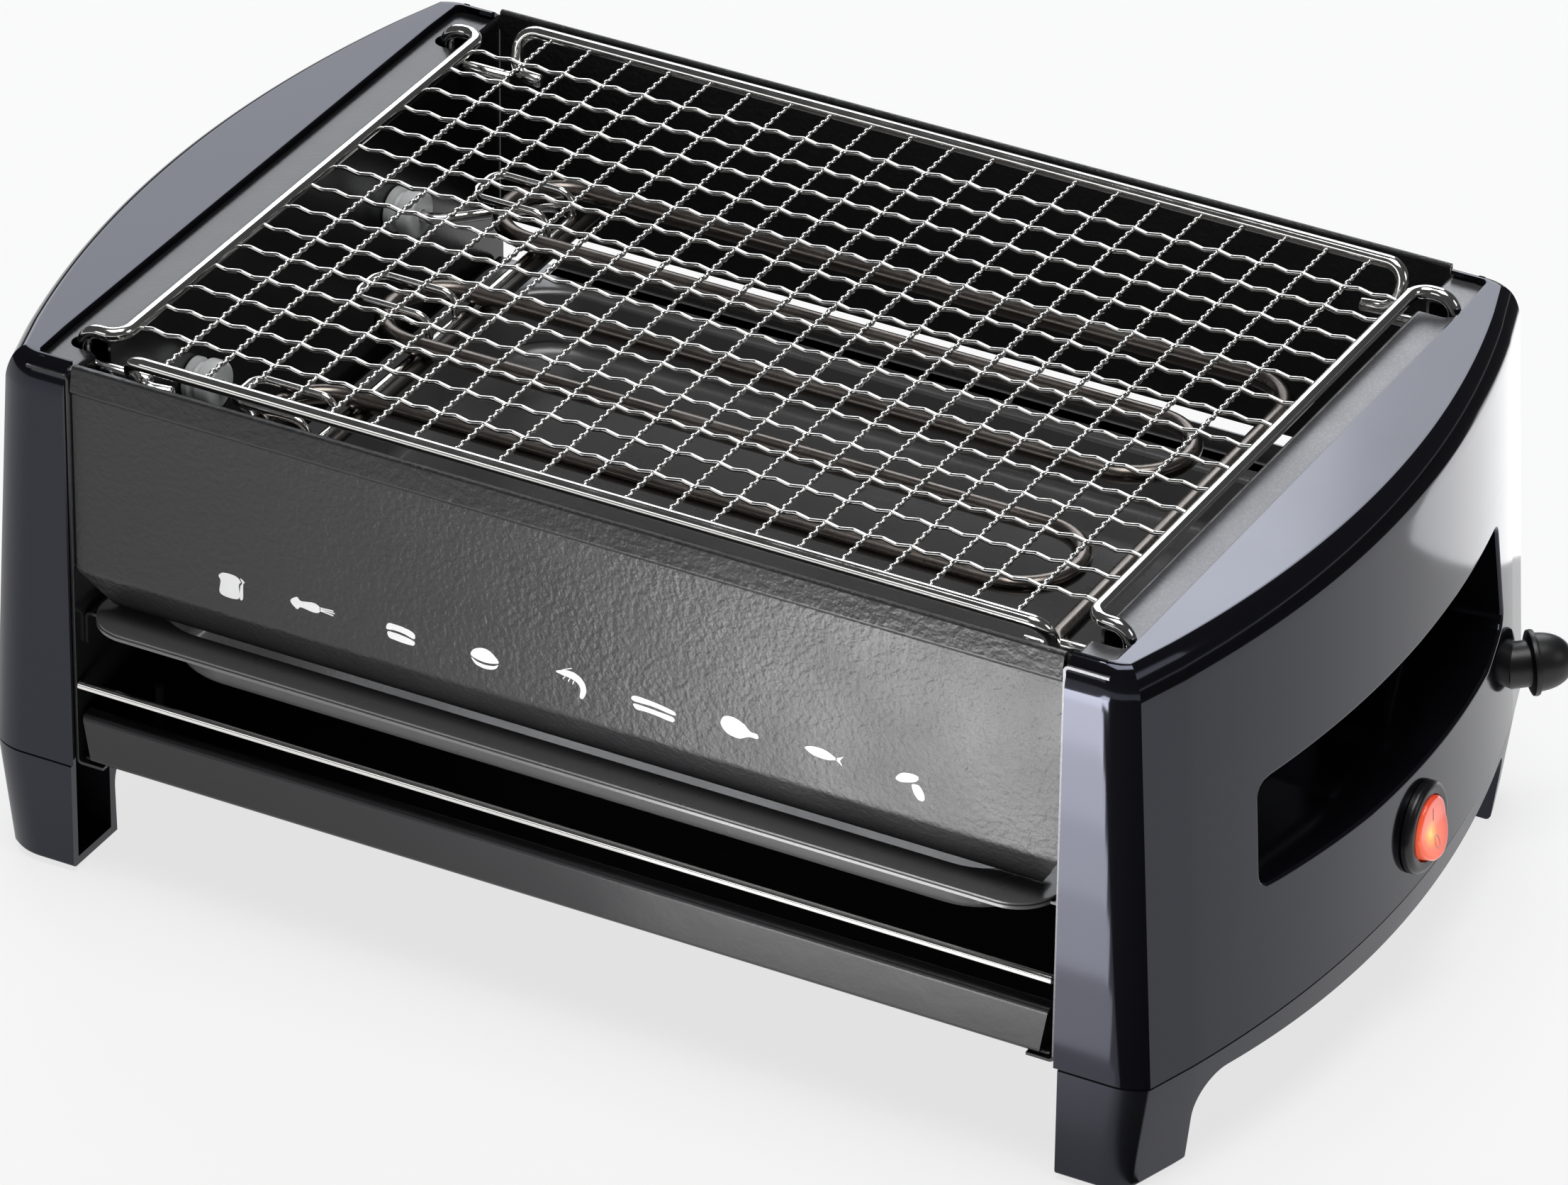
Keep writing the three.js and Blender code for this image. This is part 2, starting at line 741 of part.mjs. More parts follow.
// Heater support: ceramic bushes, a bail under the tubes, a stiffener and three hold-down clips
for (const [name, side] of [['front', -1], ['rear', 1]]) {
  const bore = supportRod / 2 + gap;
  const edge = bushLength / 4;
  const bush = turned([
    [bore, 0], [bushRadius, 0], [bushRadius, edge], [bushRadius - bushGroove, edge + bushGroove],
    [bushRadius - bushGroove, bushLength - edge - bushGroove], [bushRadius, bushLength - edge],
    [bushRadius, bushLength], [bore, bushLength], [bore, 0],
  ]);
  add(`${name}_ceramic_bush`, bush.rotateY(Math.PI / 2)
    .translate(-plateX + gap, side * bushSpacing / 2, supportHeight), ceramic);
}
const bailX = -plateX + bailReach;
const bail = [
  v3(-plateX + 2 * gap, -bushSpacing / 2, supportHeight),
  v3(-plateX + bailNeck, -bushSpacing / 2, supportHeight),
  v3(bailX, -bailCross / 2, supportHeight),
  v3(bailX, bailCross / 2, supportHeight),
  v3(-plateX + bailNeck, bushSpacing / 2, supportHeight),
  v3(-plateX + 2 * gap, bushSpacing / 2, supportHeight),
];
add('heater_support_bail', rod(bail, supportRod, bailBend), chromeWire);
const stiffenerX = bailX + supportRod + gap;
const stiffenerEnd = bailCross / 2 - bailBend;
const stiffener = [-stiffenerEnd, stiffenerEnd].map((y) => v3(stiffenerX, y, supportHeight));
add('heater_support_stiffener', rod(stiffener, supportRod, 0), darkRod);
const clipTop = heaterHeight + heaterTube / 2 + gap + supportRod / 2;
const clipFoot = supportHeight + supportRod / 2 + gap;
for (let k = 0; k < heaterRows / 2; k++) {
  const middle = firstRow + (2 * k + 0.5) * heaterRowPitch;
  const closed = -plateX + clipReach;
  const half = (side) => [
    v3(bailX, middle + side * clipHalfWidth, clipFoot),
    v3(bailX, middle + side * clipHalfWidth, clipTop),
    v3(closed, middle + side * clipHalfWidth, clipTop),
  ];
  add(`heater_clip_${k + 1}`, rod([...half(-1), ...half(1).reverse()], supportRod, clipBend), chromeWire);
}

// Side cover: its plan is a bow between two rounded corners, and the bow flares out downwards
function bowMiddle(z) {
  const share = (bodyTop - z) / (bodyTop - coverBottom);
  return plateX + coverTopReach + coverFlare * share;
}

function coverPlan(z, inset, shift = 0, innerX = coverX) {
  const centreX = bowMiddle(z) + shift - bowRadius;
  const cornerY = coverY - coverCorner;
  const cornerX = centreX + Math.sqrt((bowRadius - coverCorner) ** 2 - cornerY ** 2);
  const corner = coverCorner - inset;
  const bow = bowRadius - inset;
  const reach = Math.asin(cornerY / (bowRadius - coverCorner));
  const plan = [v3(innerX, inset - coverY, z)];
  for (let k = 0; k < cornerSteps; k++) {
    const angle = -Math.PI / 2 + ((Math.PI / 2 - reach) * k) / cornerSteps;
    plan.push(v3(cornerX + corner * Math.cos(angle), -cornerY + corner * Math.sin(angle), z));
  }
  for (let k = 0; k <= bowSteps; k++) {
    const angle = reach * ((2 * k) / bowSteps - 1);
    plan.push(v3(centreX + bow * Math.cos(angle), bow * Math.sin(angle), z));
  }
  for (let k = 1; k <= cornerSteps; k++) {
    const angle = reach + ((Math.PI / 2 - reach) * k) / cornerSteps;
    plan.push(v3(cornerX + corner * Math.cos(angle), cornerY + corner * Math.sin(angle), z));
  }
  plan.push(v3(innerX, coverY - inset, z));
  return plan;
}

function coverBlock(inset, bottom, innerX) {
  const edge = coverEdge - inset;
  const top = bodyTop - inset;
  const rings = [coverPlan(bottom, inset, 0, innerX)];
  for (let k = 0; k <= edgeSteps; k++) {
    const angle = ((Math.PI / 2) * k) / edgeSteps;
    const height = top - edge + edge * Math.sin(angle);
    rings.push(coverPlan(height, inset + edge * (1 - Math.cos(angle)), 0, innerX));
  }
  return loft(rings);
}

// The pocket narrows towards its back, so that it draws from the mould.
function pocket(grow, backX) {
  const mouthX = bowMiddle(coverBottom) + overrun;
  const bowDepth = bowRadius - Math.sqrt(bowRadius ** 2 - (slotLength / 2) ** 2);
  const middle = v3(0, slotMiddle, slotBottom + slotHeight / 2);
  const corners = slotOutlineShares.map(([along, high]) => v3(0,
    slotMiddle + (along - 0.5) * (slotLength + 2 * grow),
    slotBottom - grow + high * (slotHeight + 2 * grow)));
  const outline = roundedLoop(corners, slotCorner + grow);
  const ring = (x, share) => outline.map((point) =>
    point.clone().sub(middle).multiplyScalar(share).add(middle).setX(x));
  return loft([ring(backX, pocketDraftShare), ring(bowMiddle(middle.z) - bowDepth, 1), ring(mouthX, 1)]);
}

// A frame on the cover's face: its Z points out of the face, its Y up along it.
function faceFrame(y, z, turn = 0) {
  const centreX = bowMiddle(z) - bowRadius;
  const angle = Math.asin(y / bowRadius);
  const frame = new THREE.Group();
  frame.up.copy(up);
  frame.position.set(centreX + bowRadius * Math.cos(angle), y, z);
  const heading = angle + THREE.MathUtils.degToRad(turn);
  const rise = coverFlare / (bodyTop - coverBottom);
  frame.lookAt(frame.position.clone().add(v3(Math.cos(heading), Math.sin(heading), rise)));
  frame.updateMatrixWorld(true);
  return frame;
}

const underSlot = (share) => coverBottom + share * (slotBottom - coverBottom);
const switchFrame = faceFrame(switchPlace, underSlot(switchShare));
const inletFrame = faceFrame(inletPlace, underSlot(inletShare), inletTurn);

function sideCover(fittings) {
  const outer = solid(coverBlock(0, coverBottom, coverX));
  const hollow = solid(coverBlock(coverWall, coverBottom - overrun, coverX - overrun));
  const mould = solid(pocket(pocketWall, plateX + pocketBack - pocketWall));
  const opening = new THREE.Shape(roundedLoop([
    v2(coverX - overrun, -coverY + coverArm),
    v2(plateX + coverTopInner, -coverY + coverArm),
    v2(plateX + coverTopInner, coverY - coverArm),
    v2(coverX - overrun, coverY - coverArm),
  ], topOpeningCorner));
  const topCut = new THREE.ExtrudeGeometry(opening, { depth: 2 * overrun, bevelEnabled: false })
    .translate(0, 0, bodyTop - overrun);
  let hollowed = hollow.subtract(mould);
  for (const y of [-coverScrewPlace, coverScrewPlace]) {
    const boss = new THREE.CylinderGeometry(screwBoss, screwBoss, 2 * coverTopReach, holeSides)
      .rotateZ(Math.PI / 2).translate(coverX + gap + coverTopReach, y, coverScrewHeight);
    hollowed = hollowed.subtract(solid(boss));
  }
  let body = outer.subtract(hollowed);
  for (const y of [-coverScrewPlace, coverScrewPlace]) {
    const bore = screwShank + gap;
    const pilot = new THREE.CylinderGeometry(bore, bore, 2 * screwLength, holeSides).rotateZ(Math.PI / 2)
      .translate(plateX, y, coverScrewHeight);
    body = body.subtract(solid(pilot));
  }
  body = body.subtract(solid(pocket(0, plateX + pocketBack))).subtract(solid(topCut));
  for (const { frame, radius } of fittings) {
    const hole = new THREE.CylinderGeometry(radius, radius, 2 * overrun, 2 * holeSides)
      .rotateX(Math.PI / 2).applyMatrix4(frame.matrixWorld);
    body = body.subtract(solid(hole));
  }
  return geometryOf(body);
}

add('right_side_cover', sideCover([
  { frame: switchFrame, radius: switchBarrel + gap },
  { frame: inletFrame, radius: inletBoss + gap },
]), glossBlack);
add('left_side_cover', sideCover([]), glossBlack).scale.x = -1;

// Bottom cover with two legs: hollow, open to the inside, with an arch between the legs
function archLine(lift) {
  const half = coverY - legLength;
  return Array.from({ length: archSteps + 1 }, (_, k) => {
    const share = (2 * k) / archSteps - 1;
    return v2(share * (half - lift), archSide - archBelly * (1 - share * share) + lift);
  });
}

function bottomCover() {
  const seam = coverBottom - gap;
  const footShift = bowMiddle(coverBottom) - bowMiddle(0) - legTaper;
  const legX = coverX + legSetback;
  const outer = solid(loft([
    coverPlan(padHeight, legInset, footShift, legX),
    coverPlan(seam, legInset, 0, legX),
  ]));
  const innerX = coverX - overrun;
  const inset = legInset + legWall;
  const hollow = solid(loft([
    coverPlan(padHeight, inset, footShift, innerX),
    coverPlan(seam + overrun, inset, 0, innerX),
  ]));
  const half = coverY - legLength;
  const reach = bowMiddle(coverBottom) + overrun;
  const corner = (side) => bend(v3(side * half, -overrun, 0), v3(side * half, archSide, 0),
    v3(0, archSide - archBelly, 0), archCorner, cornerSteps).map(({ point }) => v2(point.x, point.y));
  const underArch = solid(alongX(new THREE.Shape([
    v2(-half, -overrun), ...corner(-1), ...archLine(0).slice(1, -1), ...corner(1).reverse(),
    v2(half, -overrun),
  ]), innerX, reach));
  const wellTop = seam + overrun;
  const overArch = solid(alongX(new THREE.Shape([
    ...archLine(legWall), v2(half - legWall, wellTop), v2(legWall - half, wellTop),
  ]), innerX, reach));
  let cavity = overArch;
  for (const side of [-1, 1]) {
    const near = side * (half + legWall);
    const far = side * (coverY + overrun);
    cavity = cavity.add(solid(block([innerX, reach],
      [Math.min(near, far), Math.max(near, far)], [padHeight + legFloor, wellTop])));
  }
  return geometryOf(outer.subtract(underArch).subtract(hollow.intersect(cavity)));
}

addPair('bottom_cover', bottomCover(), legBlack);
const padX = (coverX + bowMiddle(0) - legTaper - coverCorner) / 2;
const padY = coverY - legLength / 2;
const padTop = padHeight - gap;
for (const [end, sideY] of [['front', -1], ['rear', 1]]) {
  for (const [name, sideX] of [['right', 1], ['left', -1]]) {
    add(`${end}_${name}_foot_pad`, turned([[0, 0], [padRadius, 0], [padRadius, padTop], [0, padTop]])
      .translate(sideX * padX, sideY * padY, 0), rubber);
  }
}

// Rocker switch
grill.add(switchFrame);
const bezelBack = gap + bezelRadius ** 2 / (2 * bowRadius);
add('switch_bezel', turned([
  [bezelBore, -switchBarrelLength], [switchBarrel, -switchBarrelLength], [switchBarrel, bezelBack],
  [bezelRadius, bezelBack], [bezelRadius, bezelBack + bezelProud - bezelRim / 2],
  [bezelRadius - bezelRim, bezelBack + bezelProud], [bezelBore, bezelBack + bezelProud - bezelRim / 2],
  [bezelBore, -switchBarrelLength],
], 28), switchBlack, switchFrame);

const rockerFrame = new THREE.Group();
rockerFrame.position.z = bezelBack + bezelProud - rockerPivotDepth;
rockerFrame.rotation.x = -THREE.MathUtils.degToRad(rockerTilt);
switchFrame.add(rockerFrame);
const rockerRun = rockerRadius + gap;
const rockerDrop = rockerRun * Math.tan(THREE.MathUtils.degToRad(rockerTilt));
const rockerProfile = new THREE.Shape([
  v2(-rockerRun, -rockerSkirt), v2(rockerRun, -rockerSkirt), v2(rockerRun, rockerRise + rockerDrop),
  v2(0, rockerRise), v2(-rockerRun, rockerRise + rockerDrop),
]);
const rockerBar = alongX(rockerProfile, -rockerRun, rockerRun);
add('switch_rocker', geometryOf(solid(new THREE.SphereGeometry(rockerRadius, 18, 10))
  .intersect(solid(rockerBar))), lamp, rockerFrame);

const bodyEnd = -switchBarrelLength - gap;
add('switch_body', turned([
  [0, bodyEnd - switchFloor], [switchBarrel, bodyEnd - switchFloor], [switchBarrel, bodyEnd], [0, bodyEnd],
]), switchBlack, switchFrame);
[-1, 1].forEach((side, k) => {
  const top = bodyEnd - switchFloor - gap;
  add(`switch_spade_${k + 1}`, block([-spadeWidth / 2, spadeWidth / 2],
    [side * spadeWidth - spadeThickness / 2, side * spadeWidth + spadeThickness / 2],
    [top - spadeLength, top]), brass, switchFrame);
});

// Cord inlet
grill.add(inletFrame);
const flangeBase = inletBossLength;
const domeBase = flangeBase + inletFlangeLength;
const domeTip = domeBase + inletDomeLength;
const domeCurve = Array.from({ length: domeSteps }, (_, k) => {
  const angle = ((Math.PI / 2) * k) / domeSteps;
  return [inletDome * Math.cos(angle), domeBase + inletDomeLength * Math.sin(angle)];
});
add('cord_inlet', turned([
  [inletBore, -inletTail], [inletBoss, -inletTail], [inletBoss, flangeBase], [inletFlange, flangeBase],
  [inletFlange, domeBase], ...domeCurve, [inletBore, domeTip - gap], [inletBore, -inletTail],
]), rubber, inletFrame);

// Wiring inside the right cover
const blockX = plateX + sheet + gap;
const blockFront = blockPlace - blockLength / 2;
const blockRear = blockPlace + blockLength / 2;
add('terminal_block', block([blockX, blockX + blockWidth], [blockFront, blockRear],
  [blockLevel - blockHeight / 2, blockLevel + blockHeight / 2]), nylon);

function lead(corners) {
  return rod(corners, 2 * leadRadius, leadBend, leadSides);
}

const leadX = plateX + leadFromPlate;
const pinTip = plateX + sheathEnd + terminalPinLength + 2 * gap;
const [frontTerminal, rearTerminal] = terminalPlaces;
const bowAtTerminal = Math.sqrt(bowRadius ** 2 - frontTerminal ** 2) - bowRadius;
const loopX = bowMiddle(heaterHeight) + bowAtTerminal - coverWall - leadRadius - 2 * gap;
const loopZ = slotBottom + slotHeight + pocketWall + leadRadius + pocketClearance;
const spadeEnd = (side) => switchFrame.localToWorld(
  v3(0, side * spadeWidth, bodyEnd - switchFloor - 2 * gap - spadeLength));
const [lowSpade, highSpade] = [spadeEnd(-1), spadeEnd(1)];
const riserX = plateX + riserInset;
const riserY = slotMiddle - slotLength / 2 - pocketWall - riserClearance;
const fuseLevel = slotBottom + fuseRise;
const riserTurn = rearTerminal + heaterHeight - loopZ;

add('neutral_lead', lead([
  v3(leadX, blockFront - gap, blockLevel + leadSpacing),
  v3(leadX, riserTurn, blockLevel + leadSpacing),
  v3(leadX, riserTurn, loopZ),
  v3(loopX, riserTurn, loopZ),
  v3(loopX, rearTerminal, heaterHeight),
  v3(pinTip, rearTerminal, heaterHeight),
]), leadBlue);
add('live_lead', lead([
  v3(leadX + leadSpacing, blockFront - gap, lowSpade.z),
  v3(leadX + leadSpacing, lowSpade.y, lowSpade.z),
  lowSpade,
]), leadBrown);
add('switched_lead', lead([
  highSpade,
  v3(riserX, highSpade.y, highSpade.z),
  v3(riserX, riserY, highSpade.z),
  v3(riserX, riserY, fuseLevel - gap),
]), leadBrown);
add('thermal_fuse', new THREE.CylinderGeometry(fuseRadius, fuseRadius, fuseLength, holeSides)
  .rotateX(Math.PI / 2).translate(riserX, riserY, fuseLevel + fuseLength / 2), zinc);
add('fused_lead', lead([
  v3(riserX, riserY, fuseLevel + fuseLength + gap),
  v3(riserX, riserY, loopZ),
  v3(loopX, frontTerminal, loopZ),
  v3(loopX, frontTerminal, heaterHeight),
  v3(pinTip, frontTerminal, heaterHeight),
]), leadBrown);
[-1, 1].forEach((side, k) => {
  const inside = (depth) => inletFrame.localToWorld(v3(0, side * (leadRadius + gap), -inletTail - depth));
  const level = blockLevel + side * (leadRadius + gap);
  add(`mains_lead_${k + 1}`, lead([
    inside(gap),
    inside(2 * leadBend),
    v3(leadX, blockRear + gap + leadBend, level),
    v3(leadX, blockRear + gap, level),
  ]), [leadBlue, leadBrown][k]);
});

// Screws: their heads lie on the side plates' inner faces, or under the plates' bottom flanges
function screw() {
  return turned([[0, -screwLength], [screwShank, -screwLength], [screwShank, 0], [screwHeadRadius, 0],
    [screwHeadRadius, screwHeadHeight / 2], [screwHeadRadius - screwHeadHeight / 2, screwHeadHeight],
    [0, screwHeadHeight]], 10);
}

for (const [end, sideY] of [['front', -1], ['rear', 1]]) {
  for (const [name, sideX] of [['right', 1], ['left', -1]]) {
    const cover = add(`${end}_${name}_cover_screw`, screw(), zinc);
    cover.rotation.y = -sideX * Math.PI / 2;
    cover.position.set(sideX * (plateX - gap), sideY * coverScrewPlace, coverScrewHeight);
    const pan = add(`${end}_${name}_pan_screw`, screw(), zinc);
    pan.rotation.x = Math.PI;
    pan.position.set(sideX * (plateX - panScrewInset), sideY * panScrewPlace, plateBottom - gap);
  }
}

// The grill stands centred on its own outline.
const outline = new THREE.Box3().setFromObject(grill, true);
const centre = outline.getCenter(v3(0, 0, 0));
grill.position.set(-centre.x, -centre.y, -outline.min.z);

const part = new THREE.Group();
part.add(grill);

export default part;
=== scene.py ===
import json
import math

import bmesh
import bpy
from mathutils import Matrix, Vector


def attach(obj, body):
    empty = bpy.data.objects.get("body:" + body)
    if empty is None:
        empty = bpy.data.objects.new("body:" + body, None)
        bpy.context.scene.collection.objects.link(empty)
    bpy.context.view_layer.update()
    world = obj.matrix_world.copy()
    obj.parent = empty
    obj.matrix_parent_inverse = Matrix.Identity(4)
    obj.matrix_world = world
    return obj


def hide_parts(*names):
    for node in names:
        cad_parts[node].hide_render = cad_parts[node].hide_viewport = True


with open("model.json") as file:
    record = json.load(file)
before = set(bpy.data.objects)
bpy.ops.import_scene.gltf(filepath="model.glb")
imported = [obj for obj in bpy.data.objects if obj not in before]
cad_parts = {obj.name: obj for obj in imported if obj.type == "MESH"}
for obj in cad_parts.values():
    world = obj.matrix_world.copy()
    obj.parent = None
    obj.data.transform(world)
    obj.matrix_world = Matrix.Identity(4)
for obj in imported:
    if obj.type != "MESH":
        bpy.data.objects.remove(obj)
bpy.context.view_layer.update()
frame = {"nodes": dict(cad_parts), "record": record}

MM = 0.001
SHIFT = Vector((-3.2494, 1.1, 0.0))  # brings points about the body's middle into the shared frame

# Sizes in millimetres about the body's middle, with heights from the table
NET_X, NET_Y = 2.5, -1.9  # of the loose net's middle on the body
NET_PLACE = Matrix.Translation((NET_X, NET_Y, 0.0))
NET_Z = 190.0
PITCH = 15.0  # of the mesh
COLUMNS, ROWS = 20, 14
WIRE = 0.8  # radius
NET_ROD = 2.3  # radius
ROD_Z = 190.4
RING_X, RING_Y = 162.0, 125.5  # front and rear rods
BAR_X = 171.0
EAR_X, EAR_Y, EAR_Z = 184.5, 114.5, 177.5
EAR_END = 160.0
PLATE_X = 175.0
PANEL_Y = 137.4
PANEL_TOP = 187.5
LEDGE_Z = 185.2
TIE_Z, TIE_R = 71.5, 1.5
HEATER_Z, HEATER_R = 153.0, 3.25
ROW_PITCH = 38.4
ROW_RIGHT, ROW_LEFT = 130.0, -138.0  # where the heater's rows turn
RUN_X, RUN_END = 143.5, -85.0  # the heater's run back along the right side
BAIL_X, BAIL_R = -119.0, 2.0
BUSH_Y = 64.0
CLIP_WIRE = 1.35  # radius
COVER_X, COVER_Y = 176.3, 138.9
TOP_Z = 188.0
SEAM_Z = 41.0  # between side cover and bottom cover
BOW_R = 428.0
BOW_TOP = 221.3
FLARE = 8.2  # from the top to the seam
CORNER_R = 18.0
EDGE_IN, EDGE_DOWN = 6.65, 13.5  # half axes of the rounded top edge
EDGE_CREASE, EDGE_STEPS = math.radians(12), 14
CREASE = math.radians(30)  # along the corners
SKIN = 2.5  # the drop at the opening's edge
COVER_WALL = 1.6


def add_object(name, data):
    obj = bpy.data.objects.new(name, data)
    bpy.context.scene.collection.objects.link(obj)
    return obj


def apply_modifiers(obj):
    graph = bpy.context.evaluated_depsgraph_get()
    mesh = bpy.data.meshes.new_from_object(obj.evaluated_get(graph))
    obj.modifiers.clear()
    obj.data = mesh


def add_bevel(obj, width, angle):
    modifier = obj.modifiers.new("edge", "BEVEL")
    modifier.width = width * MM
    modifier.segments = 2
    modifier.limit_method = "ANGLE"
    modifier.angle_limit = math.radians(angle)


def clean(obj, angle=32, weighted=True):
    """Applies the piece's modifiers, and shades it smooth but for its sharp edges."""
    if obj.modifiers:
        apply_modifiers(obj)
    obj.data.polygons.foreach_set("use_smooth", [True] * len(obj.data.polygons))
    obj.data.set_sharp_from_angle(angle=math.radians(angle))
    if weighted:
        modifier = obj.modifiers.new("weighted", "WEIGHTED_NORMAL")
        modifier.keep_sharp = True
        modifier.mode = "FACE_AREA"
    return obj


def place(point):
    return (Vector(point) + SHIFT) * MM


def piece(name, verts, faces, material, slot, body="housing", stands_for=(), frame_matrix=None,
          bevel=0.0, solidify=0.0, angle=32, weld=True, weighted=True):
    """A mesh from points in millimetres, riding on a body of the frame."""
    points = [Vector(v) for v in verts]
    if frame_matrix is not None:
        points = [frame_matrix @ p for p in points]
    mesh = bpy.data.meshes.new(name)
    mesh.from_pydata([place(p) for p in points], [], faces)
    if weld:
        work = bmesh.new()
        work.from_mesh(mesh)
        bmesh.ops.remove_doubles(work, verts=work.verts, dist=0.004 * MM)
        bmesh.ops.dissolve_degenerate(work, edges=work.edges, dist=0.004 * MM)
        bmesh.ops.recalc_face_normals(work, faces=work.faces)
        work.to_mesh(mesh)
        work.free()
    mesh.materials.append(material)
    obj = add_object(name, mesh)
    if solidify:
        modifier = obj.modifiers.new("wall", "SOLIDIFY")
        modifier.thickness = solidify * MM
        modifier.offset = -1
        modifier.use_even_offset = True
    if bevel:
        add_bevel(obj, bevel, 40)
    clean(obj, angle, weighted)
    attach(obj, body)
    if stands_for:
        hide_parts(*stands_for)
    return obj


def rounded(corners, radius, step=9.0):
    """The points of an open line with its corners rounded."""
    corners = [Vector(c) for c in corners]
    line = [corners[0]]
    for before, corner, after in zip(corners, corners[1:], corners[2:]):
        arriving = (corner - before).normalized()
        leaving = (after - corner).normalized()
        turn = arriving.angle(leaving)
        inward = (leaving - arriving * arriving.dot(leaving)).normalized()
        start = corner - arriving * radius * math.tan(turn / 2)
        count = max(2, round(math.degrees(turn) / step))
        for k in range(count + 1):
            t = turn * k / count
            point = start + arriving * radius * math.sin(t) + inward * radius * (1 - math.cos(t))
            if (point - line[-1]).length > 0.02:
                line.append(point)
    line.append(corners[-1])
    return line


def circle(sides):
    """Cosines and sines round a full turn."""
    return [(math.cos(2 * math.pi * j / sides), math.sin(2 * math.pi * j / sides)) for j in range(sides)]


END_EASE = 0.3  # of a rod's radius


def tube(path, radius, sides, closed=False):
    """Points and faces of a round rod along a path, with eased ends."""
    path = [Vector(p) for p in path]
    radii = [radius] * len(path)
    if not closed:
        first, last = (path[0] - path[1]).normalized(), (path[-1] - path[-2]).normalized()
        ease = radius * END_EASE
        path = [path[0], path[0] - first * ease, *path[1:-1], path[-1] - last * ease, path[-1]]
        radii = [radius * (1 - END_EASE), *[radius] * (len(path) - 2), radius * (1 - END_EASE)]
    count = len(path)
    tangents = []
    for k in range(count):
        before = path[k - 1] if k or closed else path[0]
        after = path[(k + 1) % count] if k < count - 1 or closed else path[-1]
        tangents.append((after - before).normalized())
    side = tangents[0].orthogonal().normalized()
    around = circle(sides)
    verts, faces = [], []
    for k in range(count):
        side = (side - tangents[k] * side.dot(tangents[k])).normalized()
        other = tangents[k].cross(side)
        verts += [path[k] + (side * c + other * s) * radii[k] for c, s in around]
    for k in range(count if closed else count - 1):
        for j in range(sides):
            a, b = k * sides + j, k * sides + (j + 1) % sides
            c, d = ((k + 1) % count) * sides + (j + 1) % sides, ((k + 1) % count) * sides + j
            faces.append((a, b, c, d))
    if not closed:
        faces.append(tuple(reversed(range(sides))))
        faces.append(tuple(range((count - 1) * sides, count * sides)))
    return verts, faces


def rod(name, path, radius, sides, material, slot, stands_for, angle=60, **more):
    """A piece that is one round rod and stands for one node of the solids."""
    return piece(name, *tube(path, radius, sides), material, slot, stands_for=[stands_for], angle=angle,
                 weld=False, weighted=False, **more)


def merged(*parts):
    """One list of points and faces from several."""
    verts, faces = [], []
    for points, loops in parts:
        base = len(verts)
        verts += points
        faces += [tuple(base + i for i in loop) for loop in loops]
    return verts, faces


def mirrored(points):
    return [Vector((-p[0], p[1], p[2])) for p in points]


def quarter(steps):
    """Sines and cosines over a quarter turn."""
    return [(math.sin(math.pi / 2 * k / steps), math.cos(math.pi / 2 * k / steps)) for k in range(steps + 1)]


def strip(rings):
    """Faces between closed rings of points that have the same count."""
    count = len(rings[0])
    verts = [p for ring in rings for p in ring]
    faces = []
    for k in range(len(rings) - 1):
        for j in range(count):
            a, b = k * count + j, k * count + (j + 1) % count
            faces.append((a, b, b + count, a + count))
    return verts, faces


def lathe(profile, sides=48):
    """A body of revolution about Z from (radius, height) points; ends at radius 0 close it."""
    return strip([[Vector((r * c, r * s, z)) for c, s in circle(sides)] for r, z in profile])


def closed_loft(rings):
    """The strip between rings, closed at both ends."""
    verts, faces = strip(rings)
    count = len(rings[0])
    faces.append(tuple(reversed(range(count))))
    faces.append(tuple(range(len(verts) - count, len(verts))))
    return verts, faces


def prism(outline, x0, x1):
    """A prism along X over a closed outline of (y, z) points."""
    return closed_loft([[Vector((x, y, z)) for y, z in outline] for x in (x0, x1)])


def bare(name, verts, faces):
    """A mesh object that only serves to make or cut others."""
    mesh = bpy.data.meshes.new(name)
    mesh.from_pydata([place(v) for v in verts], [], faces)
    work = bmesh.new()
    work.from_mesh(mesh)
    bmesh.ops.recalc_face_normals(work, faces=work.faces)
    work.to_mesh(mesh)
    work.free()
    return add_object(name, mesh)


def cut_from(obj, cutter, how="DIFFERENCE"):
    modifier = obj.modifiers.new("cut", "BOOLEAN")
    modifier.operation = how
    modifier.solver = "EXACT"
    modifier.object = cutter
    apply_modifiers(obj)
    bpy.data.objects.remove(cutter)


# Materials
def new_material(name):
    material = bpy.data.materials.new(name)
    material.use_nodes = True
    return material, material.node_tree.nodes, material.node_tree.links


def set_inputs(node, values):
    for name, value in values.items():
        node.inputs[name].default_value = value


def noise_height(nodes, links, coords, scale, detail):
    """The output of a noise texture on the object's own coordinates."""
    noise = nodes.new("ShaderNodeTexNoise")
    set_inputs(noise, {"Scale": scale, "Detail": detail})
    links.new(coords.outputs["Object"], noise.inputs["Vector"])
    return noise.outputs["Fac"]


